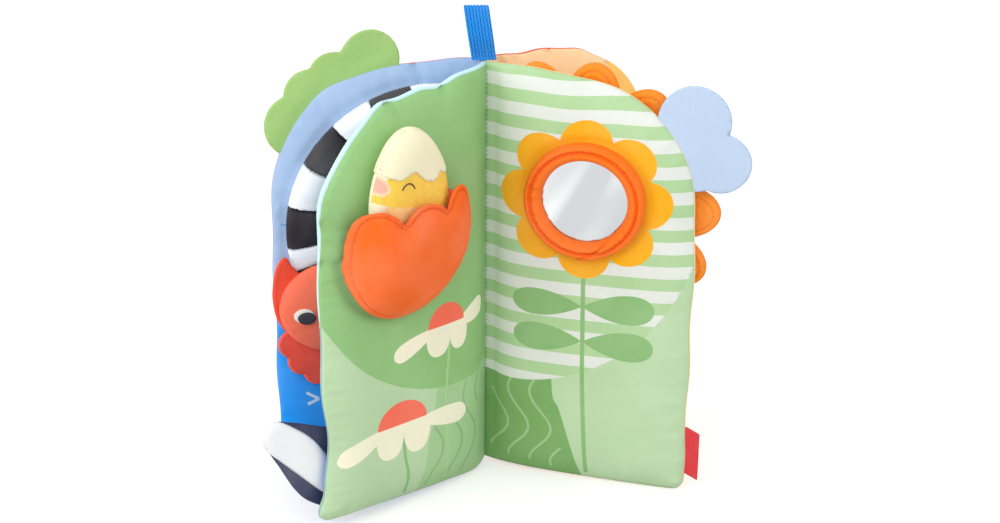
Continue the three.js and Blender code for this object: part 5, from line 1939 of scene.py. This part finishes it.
def left_page_prints() -> list[Print]:
    """Return the meadow, the big round field and the two flowers of the left page."""
    patch = np.vstack([flowing([(45.3, 68.0), (49.4, 43.5), (52.0, 34.5), (53.7, 18.7), (58.5, -1.0)], 5),
                       np.array([[-3.0, -1.0], [-3.0, 76.0]])])
    first = flowing([(37.2, 92.0), (38.4, 77.1), (39.5, 66.0), (40.2, 50.2), (38.7, 25.2), (38.6, 4.5)], 6)
    second = flowing([(68.9, 45.5), (67.6, 29.1), (65.4, 17.4), (66.1, 4.0)], 6)
    rows = [(22.8, 5.0, 62.0), (33.8, 4.0, 41.0), (47.0, 4.0, 44.0), (13.0, 44.0, 68.0)]
    prints = printed("patch_green", patch) + reeds(rows, -5.0, 50.0, 28.0, "wave_green")
    prints += printed("circle_green", arc((28.0, 158.0), 95.5, 0.0, 360.0, 130)[:-1])
    prints += printed("stem_light", ribbon(first, 1.5))
    prints += Daisy(98.6, 51.6, 27.4, 12.2, (37.2, 88.0), (10.2, 9.4),
                    (((48.0, 97.6), (73.8, 88.6), 10.0), ((31.0, 96.6), (10.5, 102.5), 11.0))).prints()
    prints += printed("stem_dark", ribbon(second, 1.9))
    prints += Daisy(50.8, 85.4, 53.2, 13.0, (68.6, 41.6), (14.0, 14.6),
                    (((81.0, 49.8), (109.8, 38.4), 11.4), ((58.0, 48.9), (26.0, 44.4), 11.6))).prints()
    return prints


def right_page_prints() -> list[Print]:
    """Return the striped field, the thicket, the stem with its leaves and the round flower."""
    centre, reach, pitch, top, edge = (15.0, 160.0), 102.4, 6.757, 225.6, -3.0
    thicket = np.vstack([flowing([(41.7, 62.5), (43.0, 50.0), (46.3, 43.5), (51.0, 27.5), (58.9, -1.0)], 6),
                         np.array([[edge, -1.0], [edge, 62.5]])])
    rows = [(12.0, 10.0, 49.0), (23.7, 7.0, 60.0), (36.0, 7.0, 60.0), (47.5, 5.0, 20.0)]
    prints = printed("thicket_green", thicket) + reeds(rows, 6.0, 44.0, 30.0, "thicket_wave")
    prints += printed("stripe_green", arc(centre, reach, 0.0, 360.0, 130)[:-1])
    spine_turn = -180.0 + math.degrees(math.acos((centre[0] - edge) / reach))
    for k in range(0, 25, 2):
        high, low = top - k * pitch, top - (k + 1) * pitch
        start = math.degrees(math.asin((high - centre[1]) / reach))
        end = math.degrees(math.asin((low - centre[1]) / reach)) if low > centre[1] - reach else spine_turn
        corners = [[edge, low], [edge, high]] if end > spine_turn else [[edge, high]]
        prints += printed("stripe_white", np.vstack([arc(centre, reach - 0.02, start, end, 12), corners]))
    stem = flowing([(57.6, 136.0), (57.6, 121.9), (58.0, 84.6), (58.5, 59.1), (61.1, 4.0)], 6)
    prints += printed("leaf_green", ribbon(stem, 2.3))
    for root, tip, width in (((57.4, 104.9), (20.1, 105.2), 15.0), ((57.4, 104.9), (95.4, 105.4), 16.6),
                             ((57.6, 85.0), (20.8, 85.4), 15.6), ((57.6, 85.0), (95.4, 83.6), 16.4)):
        prints += printed("leaf_green", petal(root, tip, width))
    for turn in np.radians(-90.0 + 45.0 * np.arange(8)):
        place = (57.5 + 31.4 * math.cos(turn), 164.0 + 30.0 * math.sin(turn))
        prints += printed("petal_gold", ellipse(place, 13.6, 13.0, steps=44))
    return prints


def chevrons() -> list[Array]:
    """Return a few plain open chevrons on the sea."""
    rows = []
    for along, height in ((96.5, 47.0), (66.0, 30.0), (38.0, 62.0), (30.0, 22.0), (60.0, 74.0)):
        tip = np.array([along - 3.2, height])
        ends = (np.array([along + 3.4, height + 3.9]), np.array([along + 3.0, height - 3.0]))
        rows += [ribbon(np.vstack([end, (end + tip) / 2.0, tip]), 1.7) for end in ends]
    return rows


def book_skins(creases: Creases) -> tuple[Skin, Skin, Skin, Skin]:
    """Return the skins of the left page, the right page, the left cover and the right cover."""
    bowl = TulipPocket.outline()
    bowl = bowl[bowl[:, 1] < 150.0]
    bowl = bowl[np.argsort(np.arctan2(bowl[:, 1] - 160.0, bowl[:, 0] - CHICK_ALONG))]
    left_page = Skin(LEFT_PAGE, creases, 11, [
        Dent(bowl, 1.6, 2.6), pleat(3.4, (72.5, 224.0), (68.0, 218.0), (63.0, 207.0)),
        pleat(2.4, (37.0, 230.0), (37.0, 215.0)), pleat(2.4, (113.0, 171.0), (103.0, 166.0), (94.0, 164.0)),
        pleat(2.0, (113.0, 150.0), (97.0, 146.0))], (
        Pull((75.0, 221.0), 9.0, (1.0, 3.2)), Pull((38.5, 229.0), 9.0, (0.0, -3.8)),
        Pull((111.0, 180.0), 15.0, (2.2, 0.8)), Pull((114.0, 4.0), 10.0, (5.0, 1.5)),
        Pull((114.0, 50.0), 20.0, (-2.4, 0.0))), (
        (0.0, 3.2), (8.0, 1.2), (15.0, 0.4), (32.0, 1.9), (61.0, 3.1), (88.0, 4.9), (114.0, 5.4)), 1.2)
    right_page = Skin(RIGHT_PAGE, creases, 12, [Dent(arc((57.5, 164.0), 31.8, 0.0, 360.0, 80), 1.2, 2.4)],
                      foot=((0.0, 3.2), (100.0, 0.0)))
    centre = (31.5, 143.0)
    arch_line = np.vstack([arc(centre, 76.5, -26.0, 99.5, 90), arc(centre, 61.9, 99.5, -26.0, 70)])
    left_cover = Skin(LEFT_COVER, creases, 13, [
        Dent(arch_line, 1.2, 2.6, True), pleat(3.6, (39.5, 231.0), (36.0, 222.6), (33.0, 210.0))], (
        Pull((83.0, 217.0), 13.0, (1.2, 2.2)),))
    right_cover = Skin(RIGHT_COVER, creases, 14, [
        pleat(2.8, (13.0, 231.0), (16.0, 222.0), (22.0, 213.0)), pleat(2.2, (44.0, 231.0), (47.0, 220.0)),
        pleat(2.4, (82.0, 214.0), (76.0, 205.0), (70.0, 199.0))], (
        Pull((64.0, 224.0), 9.0, (0.8, 1.8)), Pull((30.0, 230.0), 9.0, (0.0, -1.6))))
    return left_page, right_page, left_cover, right_cover


def make_leaves(left_page: Skin, right_page: Skin, left_cover: Skin, right_cover: Skin) -> None:
    """Make the eight printed cloths of the four leaves."""
    below = np.array([[-40.0, -5.0], [WIDTH + 40.0, -5.0], [WIDTH + 40.0, 116.0], [-40.0, 116.0]])
    sea = np.vstack([flowing([(-3.0, 122.0), (30.0, 110.0), (60.0, 119.0), (90.0, 108.0), (120.0, 113.0)], 6),
                     np.array([[122.0, -4.0], [-3.0, -4.0]])])
    dashes = [ribbon(np.array([[a, h], [a - 2.4, h - 0.2], [a - 4.7, h - 0.4]]), 1.2)
              for a, h in ((109.9, 146.9), (40.0, 128.0), (20.0, 150.0))]
    gold = np.vstack([flowing([(76.0, 240.0), (86.0, 206.0), (99.0, 180.0), (118.0, 150.0)], 6),
                      [[140.0, 240.0]]])
    leaves = (
        StuffedLeaf(left_page, LeafCloth("left_page_front", "meadow_green", "page_green_print",
                                         left_page_prints()),
                    LeafCloth("left_page_back", "page_sky", "page_back_print", printed("page_sea", below)
                              + printed("page_foam", *swells(14.0, 104.0, 22.0, 2.6))),
                    lambda y: -0.8 + 0.9 * ramp(y, 100.0, 125.0) + 1.1 * ramp(y, 140.0, 190.0)),
        StuffedLeaf(right_page, LeafCloth("right_page_front", "meadow_green", "page_stripe_print",
                                          right_page_prints()),
                    LeafCloth("right_page_back", "page_straw", "page_gold_print",
                              printed("page_straw_dot", *dots(26.0, 4.2))),
                    lambda height: 0.35 - 0.35 * ramp(height, 195.0, 215.0)),
        StuffedLeaf(left_cover, LeafCloth("left_cover_inner", "cover_sky", "cover_sky_print",
                                          printed("cover_sea", sea) + printed("cover_foam", *chevrons())
                                          + printed("cover_dash", *dashes)),
                    LeafCloth("left_cover_outer", "cover_pink", "cover_pink_print",
                              printed("cover_pink_dot", *dots(24.0, 4.6))),
                    lambda height: -1.4 * ramp(-height, -228.8, -226.5)),
        StuffedLeaf(right_cover, LeafCloth("right_cover_inner", "cover_peach", "cover_peach_print",
                                           printed("cover_gold", gold)),
                    LeafCloth("right_cover_outer", "cover_red", "cover_red_print",
                              printed("cover_red_dot", *dots(24.0, 4.6))),
                    lambda height: 0.25 + 0.15 * np.sin(height / 9.0)))
    for leaf in leaves:
        leaf.make()


def main() -> None:
    """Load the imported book, dress it, light it and keep its sizes."""
    logging.basicConfig(level=logging.INFO, format="%(name)s: %(message)s")
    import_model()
    Studio().make()
    creases = leaf_creases(Inflation(push=4.0, slack=0.03, frames=22, bending=0.4), 2.6, 0.9)
    left_page, right_page, left_cover, right_cover = book_skins(creases)
    make_leaves(left_page, right_page, left_cover, right_cover)
    Spine(right_page).make()
    HangingLoop().make()
    TulipPocket(Skin(LEFT_PAGE, creases, left_page.seed, left_page.dents[:1], seam_inset=1.2)).make()
    for toy in (EggChick(), Whale(), SoftMirrorDisc(), Ruff()):
        toy.make()
    for leaf, plant, angle, lobes in (
            (RIGHT_PAGE, "cloud", 29.0, ((5.9, 14.1, 18.5), (19.9, -6.9, 15.6), (7.4, -7.1, 15.3))),
            (LEFT_COVER, "bush", 48.6, ((11.2, -14.9, 17.0), (3.7, 0.6, 14.0), (-8.3, 9.6, 13.3),
                                        (-26.8, 18.1, 15.2), (-8.0, -4.0, 17.0)))):
        felt = Felt(leaf, 1.6, "stretched", f"{leaf.body}_batting", (0.25, 0.6, 1.2))
        FeltTab(felt, f"{plant}_felt_tab", f"{plant}_tab", f"{plant}_felt", angle, lobes).make()
    for toy in (SideTag(), StripedArch(left_cover), FeltCrab()):
        toy.make()
    for finish, nodes in (("batting", ("left_page_batting", "right_page_batting", "left_cover_batting",
                                       "right_cover_batting")),
                          ("crinkle", ("right_page_crinkle_film", "left_cover_crinkle_film"))):
        for node in nodes:
            bpy.data.objects[node].material_slots[0].material = finish_of(finish)
            LOG.info("%s keeps its shape", node)


if __name__ == "__main__":
    main()
